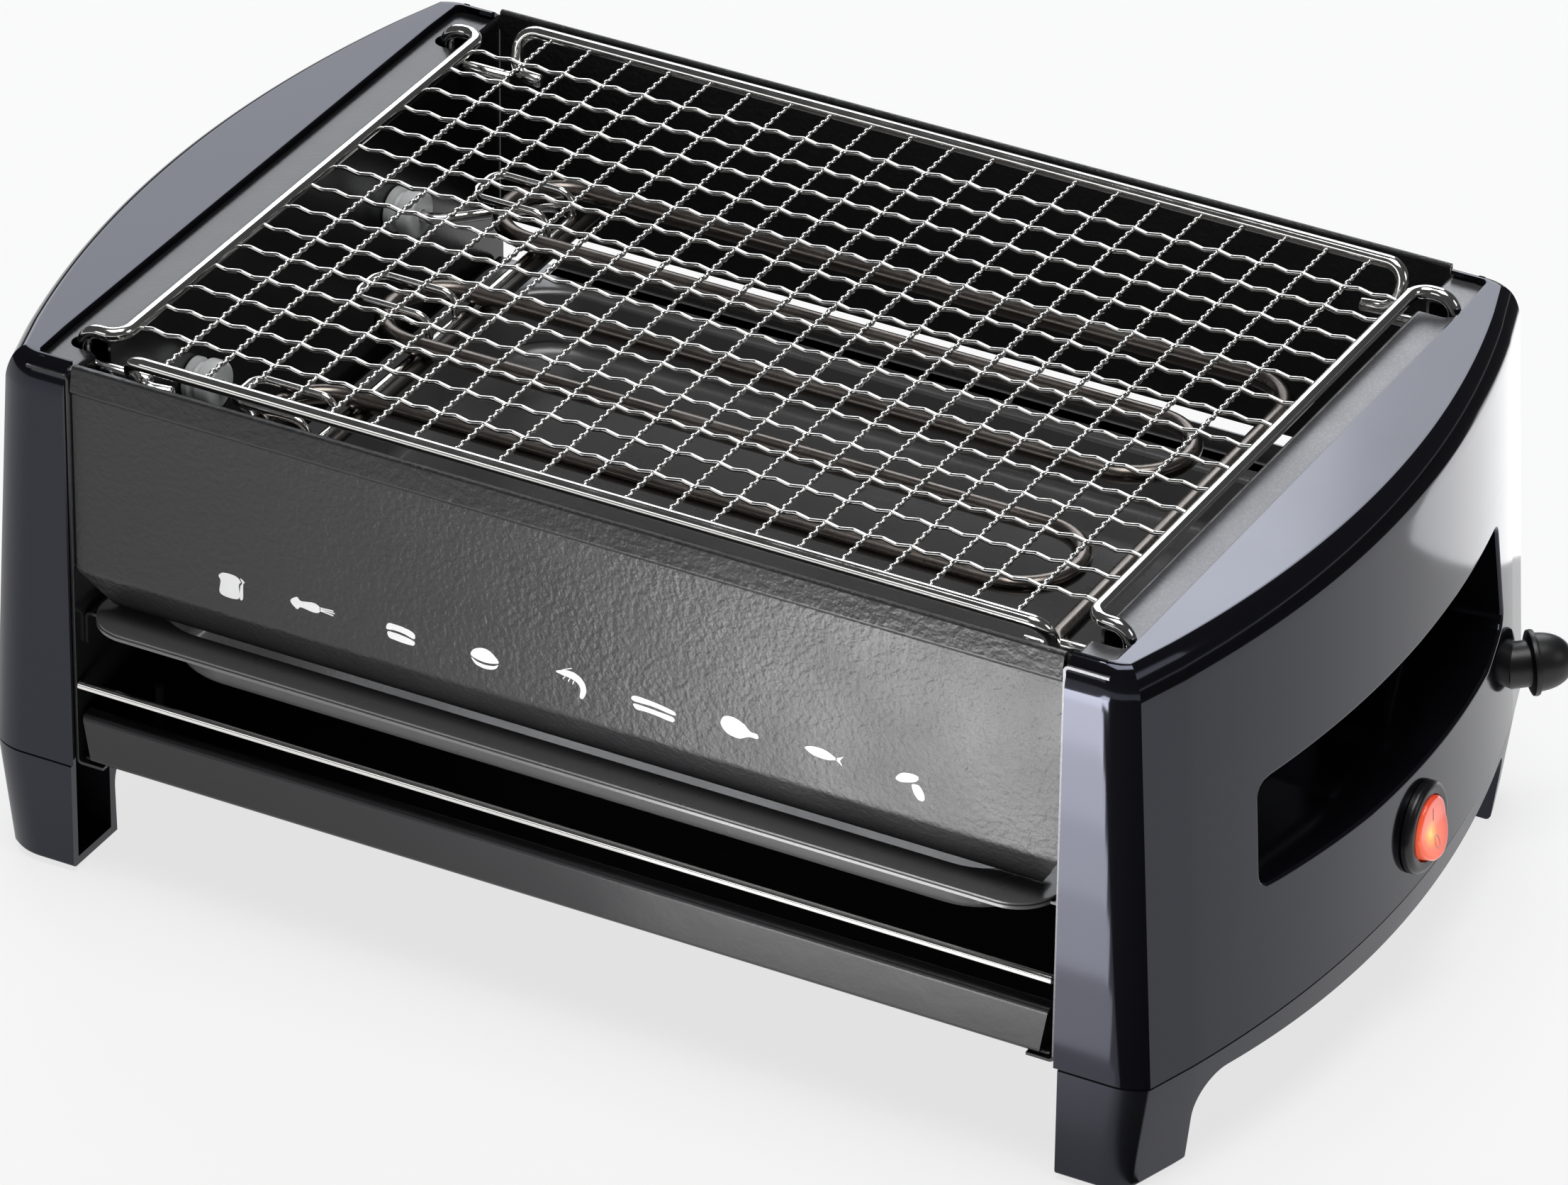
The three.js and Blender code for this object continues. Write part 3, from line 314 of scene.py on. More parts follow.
def node_material(name, color, rough, metal=0.0, specular=0.5, tint=(1, 1, 1), bump=(), rough_range=None,
                  rough_scale=30.0, speckle=None):
    """A surface with a mottled roughness and, where given, bumps as (scale, depth in mm, detail) and a
    speckle as (scale, second colour, threshold)."""
    material, nodes, links = new_material(name)
    shader = nodes["Principled BSDF"]
    set_inputs(shader, {"Base Color": (*color, 1), "Roughness": rough, "Metallic": metal,
                        "Specular IOR Level": specular, "Specular Tint": (*tint, 1)})
    coords = nodes.new("ShaderNodeTexCoord")
    low, high = rough_range or (rough * 0.92, rough * 1.08)
    spread = nodes.new("ShaderNodeMapRange")
    set_inputs(spread, {"From Min": 0.3, "From Max": 0.7, "To Min": low, "To Max": high})
    links.new(noise_height(nodes, links, coords, rough_scale, 4), spread.inputs["Value"])
    links.new(spread.outputs["Result"], shader.inputs["Roughness"])
    if speckle:
        scale, other, threshold = speckle
        ramp = nodes.new("ShaderNodeValToRGB")
        ramp.color_ramp.elements[0].position = threshold
        ramp.color_ramp.elements[0].color = (*color, 1)
        ramp.color_ramp.elements[1].position = min(1.0, threshold + 0.12)
        ramp.color_ramp.elements[1].color = (*other, 1)
        links.new(noise_height(nodes, links, coords, scale, 2), ramp.inputs["Fac"])
        links.new(ramp.outputs["Color"], shader.inputs["Base Color"])
    normal = None
    for scale, depth, detail in bump:
        relief = nodes.new("ShaderNodeBump")
        set_inputs(relief, {"Distance": depth * MM, "Strength": 1.0})
        links.new(noise_height(nodes, links, coords, scale, detail), relief.inputs["Height"])
        if normal is not None:
            links.new(normal, relief.inputs["Normal"])
        normal = relief.outputs["Normal"]
    if normal is not None:
        links.new(normal, shader.inputs["Normal"])
    return material


COVER_TINT = (0.76, 0.79, 1.0)
gloss = node_material("gloss cover", (0.0048, 0.0048, 0.0066), 0.09, specular=0.46, tint=COVER_TINT,
                      bump=[(14, 0.03, 1)], rough_range=(0.08, 0.11))
satin = node_material("satin leg", (0.009, 0.009, 0.011), 0.30, specular=0.46, tint=COVER_TINT,
                      bump=[(900, 0.02, 2)])
enamel = node_material("body enamel", (0.013, 0.013, 0.014), 0.38, bump=[(520, 0.32, 3), (190, 0.2, 2)],
                       rough_range=(0.34, 0.44))
pan_coat = node_material("pan enamel", (0.012, 0.012, 0.014), 0.34, bump=[(700, 0.04, 2), (60, 0.25, 2)])
inner_coat = node_material("inner enamel", (0.008, 0.008, 0.009), 0.22, bump=[(600, 0.03, 2), (40, 0.2, 1)])
ledge_steel = node_material("satin ledge", (0.085, 0.085, 0.09), 0.30, metal=0.4, bump=[(900, 0.02, 3)],
                            speckle=(1100, (0.11, 0.11, 0.115), 0.5))
tray_coat = node_material("tray coat", (0.15, 0.148, 0.15), 0.30, metal=0.4, bump=[(800, 0.02, 2), (30, 0.2, 1)],
                          rough_range=(0.22, 0.36))
chrome = node_material("chrome wire", (0.80, 0.79, 0.77), 0.12, metal=1.0, bump=[(160, 0.04, 2)],
                       rough_range=(0.08, 0.18), rough_scale=120)
heat_steel = node_material("heater sheath", (0.17, 0.15, 0.135), 0.26, metal=1.0, bump=[(500, 0.02, 3)],
                           rough_range=(0.20, 0.32), rough_scale=60)
dark_rod = node_material("dark rod", (0.05, 0.045, 0.042), 0.45, metal=0.8)
glazed = node_material("ceramic", (0.78, 0.80, 0.80), 0.20)
rubber = node_material("rubber", (0.010, 0.010, 0.011), 0.38, bump=[(300, 0.05, 2)])
switch_black = node_material("switch black", (0.010, 0.010, 0.012), 0.30)
zinc = node_material("zinc", (0.5, 0.5, 0.5), 0.3, metal=0.95)
brass = node_material("brass", (0.6, 0.42, 0.16), 0.3, metal=1.0)
nylon = node_material("nylon", (0.7, 0.68, 0.6), 0.5)
brown = node_material("brown lead", (0.09, 0.03, 0.014), 0.5)
blue = node_material("blue lead", (0.016, 0.06, 0.22), 0.5)
print_white = node_material("print", (0.62, 0.62, 0.62), 0.45)

SLOT_MATERIALS = {
    "gloss_cover": gloss, "satin_leg": satin, "body_enamel": enamel, "plate_steel": inner_coat,
    "tray_coat": tray_coat, "chrome_wire": chrome, "heater_steel": heat_steel, "dark_rod": dark_rod,
    "ceramic": glazed, "rubber": rubber, "switch_black": switch_black, "rocker_lens": switch_black,
    "brass": brass, "zinc": zinc, "nylon": nylon, "lead_brown": brown, "lead_blue": blue,
}
for entry in frame["record"]["subparts"]:
    node = frame["nodes"][entry["node"]]
    for material_slot in node.material_slots:
        material_slot.link = "OBJECT"
        material_slot.material = SLOT_MATERIALS[entry["material_slot"]]


# Net: woven wires in a frame of bent rod
def wave_wire(start, end, across, wavelength, crimp, sign, samples):
    """A crimped wire: rounded zigzags over its length, counted from its middle."""
    start, end = Vector(start), Vector(end)
    middle = (start + end) / 2
    length = (end - start).length
    along = (end - start).normalized()
    count = round(length / wavelength * samples)
    path = []
    for k in range(count + 1):
        s = (k / count - 0.5) * length
        turn = 2 * math.pi * s / wavelength
        lift = crimp * (math.cos(turn) + math.cos(3 * turn) / 9) * sign
        path.append(middle + along * s + across * lift)
    return path


up = Vector((0, 0, 1))
ROW_WAVE, ROW_CRIMP = PITCH * 2 / 3, 0.42
COLUMN_WAVE, COLUMN_CRIMP = PITCH * 2 / 7, 0.36
wires = []
for row in range(ROWS + 1):
    y = (row - ROWS / 2) * PITCH
    sign = -1 if row % 2 == 0 else 1
    ends = (-BAR_X + 1.6, y, NET_Z), (BAR_X - 1.6, y, NET_Z)
    wires.append(tube(wave_wire(*ends, up, ROW_WAVE, ROW_CRIMP, sign, 12), WIRE, 8))
for column in range(COLUMNS + 1):
    x = (column - COLUMNS / 2) * PITCH
    sign = 1 if column % 2 == 0 else -1
    ends = (x, -RING_Y + 1.5, NET_Z), (x, RING_Y - 1.5, NET_Z)
    wires.append(tube(wave_wire(*ends, up, COLUMN_WAVE, COLUMN_CRIMP, sign, 8), WIRE, 8))
piece("woven_mesh", *merged(*wires), chrome, "chrome_wire", "grill_net", ["net_mesh"], NET_PLACE, weld=False,
      weighted=False, angle=60)

rods = []
for side in (-1, 1):
    curl = [(RING_X - 12, side * (EAR_Y + 3), EAR_Z), (RING_X, side * (EAR_Y + 4.5), EAR_Z),
            (RING_X, side * RING_Y, ROD_Z)]
    rods.append(tube(rounded(curl + mirrored(reversed(curl)), 6.2), NET_ROD, 20))
piece("net_ring", *merged(*rods), chrome, "chrome_wire", "grill_net", ["net_ring"], NET_PLACE, weld=False,
      weighted=False, angle=60)
bar = rounded([
    (EAR_END, -EAR_Y, EAR_Z), (EAR_X, -EAR_Y, EAR_Z), (EAR_X, -EAR_Y, ROD_Z), (BAR_X, -EAR_Y, ROD_Z),
    (BAR_X, EAR_Y, ROD_Z), (EAR_X, EAR_Y, ROD_Z), (EAR_X, EAR_Y, EAR_Z), (EAR_END, EAR_Y, EAR_Z),
], 6.0)
for name, line in (("right", bar), ("left", mirrored(bar))):
    rod(f"{name}_net_bar", line, NET_ROD, 20, chrome, "chrome_wire", f"{name}_net_side_bar", body="grill_net",
        frame_matrix=NET_PLACE)


# Bent sheet: a centre line in two coordinates, drawn out along the third
def bent_sheet(line, thickness, ends, axis):
    """The line's points are (u, v), and ends(u, v) gives the limits along the axis, X or Y."""
    count = len(line)
    normals = []
    for k in range(count):
        before, after = line[max(k - 1, 0)], line[min(k + 1, count - 1)]
        along = (Vector(after) - Vector(before)).to_2d().normalized()
        normals.append(Vector((-along.y, along.x)))
    verts = []
    for sign in (-1, 1):
        for end in (0, 1):
            for p, n in zip(line, normals):
                u, v = p[0] + sign * n.x * thickness / 2, p[1] + sign * n.y * thickness / 2
                w = ends(u, v)[end]
                verts.append(Vector((w, u, v)) if axis == "X" else Vector((u, w, v)))
    faces = []
    for k in range(count - 1):
        for base, other in ((0, 1), (3, 2), (1, 3), (2, 0)):
            a, b = base * count + k, other * count + k
            faces.append((a, a + 1, b + 1, b))
    for k in (0, count - 1):
        faces.append((k, count + k, 3 * count + k, 2 * count + k))
    return verts, faces


def flat_line(corners, radius):
    return [(p.x, p.y) for p in rounded([(u, v, 0) for u, v in corners], radius, 10)]


PANEL_END = PLATE_X - 0.3
LIP_Y = -PANEL_Y + 0.5
FACE_Y = LIP_Y + 1.4
BEVEL_Z, BEVEL_DEPTH, MITRE = 114.0, 7.5, 9.0  # of the front panel's foot
FOOT_Z = 99.7
front_line = flat_line([(FACE_Y - 0.1, 178.6), (LIP_Y, 179.8), (LIP_Y + 1.5, PANEL_TOP), (FACE_Y + 1.9, PANEL_TOP),
                        (FACE_Y + 1.9, 181), (FACE_Y, 178), (FACE_Y, 150)], 0.55)[:-1]
FOOT_Y = FACE_Y + BEVEL_DEPTH
front_line += flat_line([(FACE_Y, 150), (FACE_Y, BEVEL_Z), (FOOT_Y, FOOT_Z)], 5.0)[:-1]
front_line += flat_line([(FOOT_Y - 1.5, 102.56), (FOOT_Y, FOOT_Z), (FOOT_Y + 6, FOOT_Z)], 1.4)


def panel_ends(u, v):
    cut = max(0.0, BEVEL_Z - v) * MITRE / (BEVEL_Z - FOOT_Z)
    return -PANEL_END + cut, PANEL_END - cut


piece("front_panel_skin", *bent_sheet(front_line, 1.0, panel_ends, "X"), enamel, "body_enamel",
      stands_for=["front_panel"], bevel=0.2)
rear_line = flat_line([(LIP_Y, 180), (LIP_Y, PANEL_TOP), (FACE_Y, PANEL_TOP), (FACE_Y, 109)], 0.7)
rear_line = [(-u, v) for u, v in rear_line]
piece("rear_panel_skin", *bent_sheet(rear_line, 1.0, lambda u, v: (-PANEL_END, PANEL_END), "X"), enamel,
      "body_enamel", stands_for=["rear_panel"], bevel=0.2)

WALL_Y = PANEL_Y - 0.5
HEM_Y = WALL_Y - 5.6
PAN_Z, RAIL_Z, HEM_Z = 43.5, 60.0, 55.5
PAN_TAPER = 3.0  # of the upright walls' ends, over their height
pan_line = flat_line([
    (-HEM_Y, HEM_Z), (-HEM_Y, RAIL_Z), (-WALL_Y, RAIL_Z), (-WALL_Y, PAN_Z),
    (WALL_Y, PAN_Z), (WALL_Y, RAIL_Z), (HEM_Y, RAIL_Z), (HEM_Y, HEM_Z),
], 1.6)


def pan_ends(u, v):
    end = PLATE_X - 1.6
    if abs(u) > WALL_Y - 1:
        end -= PAN_TAPER * max(0.0, (RAIL_Z + 0.5 - v) / (RAIL_Z - PAN_Z + 1.0))
    return -end, end


piece("pan_skin", *bent_sheet(pan_line, 1.0, pan_ends, "X"), pan_coat, "body_enamel", stands_for=["base_pan"],
      bevel=0.2)

# Tie rods
for name, side in (("front", -1), ("rear", 1)):
    y = side * (PANEL_Y - 0.6)
    rod(f"{name}_tie", [(-PLATE_X + 0.3, y, TIE_Z), (0, y, TIE_Z), (PLATE_X - 0.3, y, TIE_Z)], TIE_R, 16,
        chrome, "chrome_wire", f"{name}_tie_rod", angle=32)

# Side plates: dark enamelled inner walls with a ledge on top, a satin one on the right
SILL_Z = 42.2
side_walls = []
for name, side, coat in (("right", 1, ledge_steel), ("left", -1, inner_coat)):
    section = flat_line([(PLATE_X + 15.5, LEDGE_Z - 0.5), (PLATE_X + 0.5, LEDGE_Z - 0.5), (PLATE_X + 0.5, SILL_Z),
                         (PLATE_X - 9, SILL_Z)], 1.6)
    split = [k for k, p in enumerate(section) if p[1] < 182][0]
    for label, line, finish in (("ledge", section[:split + 1], coat), ("wall", section[split:], inner_coat)):
        wall = [(side * u, v) for u, v in line]
        skin = piece(f"{name}_{label}", *bent_sheet(wall, 1.0, lambda u, v: (-PANEL_Y, PANEL_Y), "Y"), finish,
                     "plate_steel", stands_for=[f"{name}_side_plate"])
        side_walls.append((skin, side))

# Notches in the ledges and walls, in which the net's ears hang
NOTCH_R = 4.5
NOTCH_ENDS = {1: 188.5, -1: 186.0}
for wall, side in side_walls:
    far = NOTCH_ENDS[side] - NOTCH_R
    for y in (NET_Y - EAR_Y, NET_Y + EAR_Y):
        outline = [(EAR_END, y - NOTCH_R), (far, y - NOTCH_R)]
        for k in range(1, 12):
            a = math.pi * k / 12
            outline.append((far + NOTCH_R * math.sin(a), y - NOTCH_R * math.cos(a)))
        outline += [(far, y + NOTCH_R), (EAR_END, y + NOTCH_R)]
        rings = [[Vector((side * x, v, z)) for x, v in outline] for z in (173, 191)]
        cut_from(wall, bare("notch", *closed_loft(rings)))
        clean(wall)

# Drip tray
TRAY_FRONT, TRAY_REAR, TRAY_X, TRAY_TOP = -141.1, 133.5, 171.5, 97.5


def tray_ring(inset, radius, z):
    corners = [(-TRAY_X + inset, TRAY_FRONT + inset), (TRAY_X - inset, TRAY_FRONT + inset),
               (TRAY_X - inset, TRAY_REAR - inset), (-TRAY_X + inset, TRAY_REAR - inset)]
    ring_points = []
    for k, (x, y) in enumerate(corners):
        cx, cy = x - math.copysign(radius, x), y - math.copysign(radius, y)
        for j in range(13):
            a = math.radians(180 + 90 * k + 90 * j / 12)
            ring_points.append(Vector((cx + radius * math.cos(a), cy + radius * math.sin(a), z)))
    return ring_points


FLANGE = 13.0
BEND_IN, BEND_R, BEND = FLANGE - 2, 2.4, math.radians(74)  # from the flange into the drafted wall
FLOOR_IN, FLOOR_Z = FLANGE + 4.2, TRAY_TOP - 15.5  # where the wall runs into the floor's rounding
tray_levels = [
    (0.0, 15, TRAY_TOP - 2.4), (0.0, 15, TRAY_TOP - 1.4), (0.5, 14.8, TRAY_TOP - 1.1), (0.5, 14.8, TRAY_TOP - 0.9),
    (0.0, 15, TRAY_TOP - 0.6), (0.1, 15, TRAY_TOP - 0.2), (0.6, 14.6, TRAY_TOP), (BEND_IN, 24, TRAY_TOP),
]
for k in range(1, 7):
    a = BEND * k / 6
    tray_levels.append((BEND_IN + BEND_R * math.sin(a), 24, TRAY_TOP - BEND_R * (1 - math.cos(a))))
tray_levels.append((FLOOR_IN, 24, FLOOR_Z))
for s, c in quarter(6)[1:]:
    tray_levels.append((FLOOR_IN + 4.6 * (1 - c), 23, FLOOR_Z - 4.5 * s))
tray_rings = [tray_ring(*level) for level in tray_levels]
tray_verts, tray_faces = strip(tray_rings)
tray_faces.append(tuple(range(len(tray_verts) - len(tray_rings[-1]), len(tray_verts))))
piece("tray_pressing", tray_verts, tray_faces, tray_coat, "tray_coat", "drip_tray", ["drip_tray"], solidify=1.0)
rim_y = TRAY_REAR - 0.5
rim_line = flat_line([(rim_y - 6, TRAY_TOP - 0.45), (rim_y, TRAY_TOP - 0.45), (rim_y, TRAY_TOP + 8.5)], 1.2)
piece("tray_rear_rim", *bent_sheet(rim_line, 0.9, lambda u, v: (-TRAY_X + 20, TRAY_X - 20), "X"), tray_coat,
      "tray_coat", "drip_tray", bevel=0.15)

# Heater: six rows, and a run back along the right side
first_row = -2.5 * ROW_PITCH
HEATER_END = PLATE_X + 11
heater_corners = [(HEATER_END, first_row, HEATER_Z)]
for row in range(6):
    y = first_row + row * ROW_PITCH
    start, stop = (ROW_RIGHT, ROW_LEFT) if row % 2 == 0 else (ROW_LEFT, ROW_RIGHT)
    if row:
        heater_corners.append((start, y, HEATER_Z))
    heater_corners.append((RUN_X if row == 5 else stop, y, HEATER_Z))
heater_corners.append((RUN_X, 0, HEATER_Z))
heater_path = rounded(heater_corners, ROW_PITCH / 2, 7.5)
heater_path += rounded([(RUN_X, 0, HEATER_Z), (RUN_X, RUN_END, HEATER_Z), (PLATE_X - 2, RUN_END, HEATER_Z),
                        (HEATER_END, first_row + 20, HEATER_Z + 3)], 9)[1:]
rod("heater_tube", heater_path, HEATER_R, 24, heat_steel, "heater_steel", "heater_element")

# Heater's support: bail, stiffener, clips and bushes
SUPPORT_Z = HEATER_Z - HEATER_R - 0.3 - BAIL_R
bail = [(-174.4, -BUSH_Y, SUPPORT_Z), (-158, -BUSH_Y, SUPPORT_Z), (BAIL_X, -102, SUPPORT_Z)]
bail += [(x, -y, z) for x, y, z in reversed(bail)]
rod("bail_rod", rounded(bail, 8), BAIL_R, 16, chrome, "chrome_wire", "heater_support_bail")
rod("stiffener_rod", [(BAIL_X + 4.3, y, SUPPORT_Z) for y in (-94, 0, 94)], BAIL_R, 16, dark_rod, "dark_rod",
    "heater_support_stiffener")
CLIP_Z = HEATER_Z + HEATER_R + 0.2 + CLIP_WIRE
CLIP_X, CLIP_HALF = -148.0, 8.5
for k in range(3):
    front, rear = ((k - 1) * 2 * ROW_PITCH + side * CLIP_HALF for side in (-1, 1))
    clip = [(BAIL_X, front, SUPPORT_Z + 2.3), (BAIL_X, front, CLIP_Z), (CLIP_X, front, CLIP_Z),
            (CLIP_X, rear, CLIP_Z), (BAIL_X, rear, CLIP_Z), (BAIL_X, rear, SUPPORT_Z + 2.3)]
    rod(f"clip_wire_{k + 1}", rounded(clip, 5.2), CLIP_WIRE, 14, chrome, "chrome_wire", f"heater_clip_{k + 1}")
bush_profile = [
    (2.3, 0), (7.2, 0), (7.6, 0.4), (7.6, 2.2), (7.2, 2.6), (6.2, 2.9), (6.0, 3.4), (6.0, 4.4), (6.3, 4.9),
    (7.5, 5.1), (8.1, 5.5), (8.3, 6.2), (8.3, 9.2), (8.1, 10.1), (7.6, 10.7), (6.8, 11.0), (2.3, 11.0), (2.3, 0),
]
for name, side in (("front", -1), ("rear", 1)):
    turn = Matrix.Translation((0.3 - PLATE_X, side * BUSH_Y, SUPPORT_Z)) @ Matrix.Rotation(math.pi / 2, 4, "Y")
    piece(f"{name}_bush", *lathe(bush_profile), glazed, "ceramic", stands_for=[f"{name}_ceramic_bush"],
          frame_matrix=turn)


# Side covers
def bow_centre(z):
    return BOW_TOP + FLARE * (TOP_Z - z) / (TOP_Z - SEAM_Z) - BOW_R


CORNER_Y = COVER_Y - CORNER_R
# Between the axes of the bow and of a corner's rounding, which meet in a crease
SPAN = math.sqrt(BOW_R ** 2 + CORNER_R ** 2 - 2 * BOW_R * CORNER_R * math.cos(CREASE))


def corner_angles(inset):
    """The bow's reach to the crease, and the crease's own angle, on a surface that lies in by the inset."""
    bow, corner = BOW_R - inset, CORNER_R - inset
    crease = math.acos((bow ** 2 + corner ** 2 - SPAN ** 2) / (2 * bow * corner))
    return math.asin(CORNER_Y / SPAN) - math.asin(corner * math.sin(crease) / SPAN), crease


BOW_END = BOW_R * math.sin(corner_angles(0)[0])
CORNER_STEPS = 12
STRAIGHT = (0.0, 0.4, 0.807, 0.93)  # where the points of the straight run before a corner lie, in shares of it


def surface_x(y, z):
    return bow_centre(z) + math.sqrt(BOW_R ** 2 - y ** 2)


def plan_points(z, inset, columns, shift=0.0, inner_x=COVER_X):
    """The cover's outline at one height, from the front inner end round to the rear inner end."""
    centre = bow_centre(z) + shift
    corner_x = centre + math.sqrt(SPAN ** 2 - CORNER_Y ** 2)
    corner = CORNER_R - inset
    reach, crease = corner_angles(inset)
    half = []
    for share in STRAIGHT:
        half.append(Vector((inner_x + share * (corner_x - inner_x), inset - COVER_Y, z)))
    for k in range(CORNER_STEPS):
        a = -math.pi / 2 + (math.pi / 2 - reach - crease) * k / CORNER_STEPS
        half.append(Vector((corner_x + corner * math.cos(a), -CORNER_Y + corner * math.sin(a), z)))
    rear = [Vector((p.x, -p.y, p.z)) for p in reversed(half)]
    bow = []
    for y in columns:
        a = math.asin(y / BOW_R)
        bow.append(Vector((centre + (BOW_R - inset) * math.cos(a), (BOW_R - inset) * math.sin(a), z)))
    return half + bow + rear


def spaced(start, stop, step):
    count = max(1, round((stop - start) / step))
    return [start + (stop - start) * k / count for k in range(count)]


# The hand-hold's slot, with its corners in shares of length and height, and the pocket behind it
SLOT_LENGTH, SLOT_HEIGHT, SLOT_Y, SLOT_Z = 183.0, 46.0, 7.6, 80.0
SLOT_SHARES = ((0, 0.2), (0.34, 0.09), (0.885, 0), (1, 0.13), (0.955, 1), (0, 1))
SLOT_ROUND = 5.0
LIP = 1.3
POCKET_BACK, POCKET_ROUND, POCKET_DRAFT = 186.0, 5.0, 0.06
WINDOW = (-95.0, 110.0, 69.0, 137.0)  # y and z limits of the face that loops round the slot make up
OPENING_X, OPENING_Y, OPENING_R = 189.7, COVER_Y - 10.5, 4.5  # of the cover's open top


def slot_outline():
    """Points of the slot's outline, counterclockwise seen from outside, with outward normals."""
    corners = [Vector((SLOT_Y + (a - 0.5) * SLOT_LENGTH, SLOT_Z + h * SLOT_HEIGHT, 0)) for a, h in SLOT_SHARES]
    count = len(corners)
    points = []
    for k in range(count):
        points += rounded([corners[k - 1], corners[k], corners[(k + 1) % count]], SLOT_ROUND, 6)[1:-1]
    result = []
    for k, p in enumerate(points):
        along = (points[(k + 1) % len(points)] - points[k - 1]).normalized()
        result.append((Vector((p.x, p.y)), Vector((along.y, -along.x))))
    return result


def outline_towards(outline, target, middle, half):
    """Where a ray from the slot's middle to a point of the window crosses the outline."""
    def scaled(point):
        return Vector(((point.x - middle.x) / half.x, (point.y - middle.y) / half.y))

    goal = scaled(target)
    for k in range(len(outline)):
        (p, n), (q, m) = outline[k - 1], outline[k]
        a = scaled(p)
        along = scaled(q) - a
        det = goal.x * -along.y + along.x * goal.y
        if abs(det) < 1e-12:
            continue
        t = (a.x * -along.y + along.x * a.y) / det
        s = (goal.x * a.y - goal.y * a.x) / det
        if t > 0 and -1e-6 <= s <= 1 + 1e-6:
            return p.lerp(q, min(1, max(0, s))), n.lerp(m, min(1, max(0, s))).normalized()
    raise ValueError("the ray misses the slot")


def cover_skin():
    y0, y1, z0, z1 = WINDOW
    columns = spaced(-BOW_END, y0, 4) + spaced(y0, y1, 1.6) + spaced(y1, BOW_END, 3) + [BOW_END]
    crest = TOP_Z - EDGE_DOWN * (1 - math.sin(EDGE_CREASE))
    rows = spaced(SEAM_Z, z0, 4) + spaced(z0, z1, 1.6) + spaced(z1, crest, 4) + [crest]
    rings = [plan_points(z, 0, columns) for z in rows]
    for k in range(1, EDGE_STEPS + 1):
        a = EDGE_CREASE + (math.pi / 2 - EDGE_CREASE) * k / EDGE_STEPS
        inset = EDGE_IN * (math.cos(EDGE_CREASE) - math.cos(a))
        rings.append(plan_points(TOP_Z - EDGE_DOWN + EDGE_DOWN * math.sin(a), inset, columns))
    width = len(rings[0])
    verts = [p for ring_points in rings for p in ring_points]
    offset = len(STRAIGHT) + CORNER_STEPS
    left, right = offset + columns.index(y0), offset + columns.index(y1)
    low, high = rows.index(z0), rows.index(z1)
    faces = []
    for r in range(len(rings) - 1):
        for c in range(width - 1):
            if low <= r < high and left <= c < right:
                continue
            a = r * width + c
            faces.append((a, a + 1, a + 1 + width, a + width))
    # Window: loops that shrink from its border to the slot, then over the lip into the pocket
    border = [low * width + c for c in range(left, right)]
    border += [r * width + right for r in range(low, high)]
    border += [high * width + c for c in range(right, left, -1)]
    border += [r * width + left for r in range(high, low, -1)]
    outline = slot_outline()
    middle = Vector((SLOT_Y, SLOT_Z + SLOT_HEIGHT / 2))
    half = Vector((SLOT_LENGTH / 2, SLOT_HEIGHT / 2))
    targets = [Vector((verts[i].y, verts[i].z)) for i in border]
    pairs = [outline_towards(outline, target, middle, half) for target in targets]
    loops = []
    for share in (0.8, 0.6, 0.4, 0.2, 0.08, 0.0):
        flat = [(p + n * LIP).lerp(target, share) for target, (p, n) in zip(targets, pairs)]
        loops.append([Vector((surface_x(*q), *q)) for q in flat])
    for s, c in quarter(10)[1:]:
        loop = []
        for p, n in pairs:
            x = surface_x(*(p + n * LIP)) - LIP * (1 - c)
            loop.append(Vector((x, *(p + n * LIP * (1 - s)))))
        loops.append(loop)
    for share in (0.25, 0.5, 0.75, 1.0):
        loop = []
        for p, n in pairs:
            mouth = surface_x(*p) - LIP
            x = mouth + (POCKET_BACK + POCKET_ROUND - mouth) * share
            loop.append(Vector((x, *(middle + (p - middle) * (1 - POCKET_DRAFT * share)))))
        loops.append(loop)
    for s, c in quarter(10)[1:]:
        loop = []
        for p, n in pairs:
            q = middle + (p - middle) * (1 - POCKET_DRAFT) - n * POCKET_ROUND * (1 - c)
            loop.append(Vector((POCKET_BACK + POCKET_ROUND * (1 - s), *q)))
        loops.append(loop)
    previous = border
    for loop in loops:
        base = len(verts)
        verts += loop
        current = list(range(base, base + len(loop)))
        for k in range(len(loop)):
            j = (k + 1) % len(loop)
            faces.append((previous[k], previous[j], current[j], current[k]))
        previous = current
    faces.append(tuple(previous))
    # Top: from the rounded edge to the opening's edge
    top = (len(rings) - 1) * width
    inner = []
    start, stop = 2, width - 3
    for c in range(start, stop + 1):
        p = verts[top + c]
        x = OPENING_X
        turn = abs(p.y) - OPENING_Y
        if turn > 0:
            x += math.sqrt(max(0.0, OPENING_R ** 2 - turn ** 2)) - OPENING_R
        inner.append(Vector((min(x, p.x), p.y, TOP_Z)))
    eased = 0.7
    previous = [top + c for c in range(start, stop + 1)]
    levels = [(eased, 0.0), (0.35, 0.1), (0.1, 0.35), (0.0, eased), (0.0, SKIN)]
    for reach_in, drop in levels:
        base = len(verts)
        for k, q in enumerate(inner):
            p = verts[top + start + k]
            span = max(0.0, p.x - q.x)
            verts.append(Vector((q.x + min(reach_in, span * 0.5), q.y, TOP_Z - drop)))
        current = list(range(base, base + len(inner)))
        for k in range(len(inner) - 1):
            faces.append((previous[k], previous[k + 1], current[k + 1], current[k]))
        previous = current
    return verts, faces


cover_verts, cover_faces = cover_skin()
for name, points in (("right", cover_verts), ("left", mirrored(cover_verts))):
    piece(f"{name}_cover_skin", points, cover_faces, gloss, "gloss_cover", stands_for=[f"{name}_side_cover"],
          solidify=COVER_WALL, angle=10)


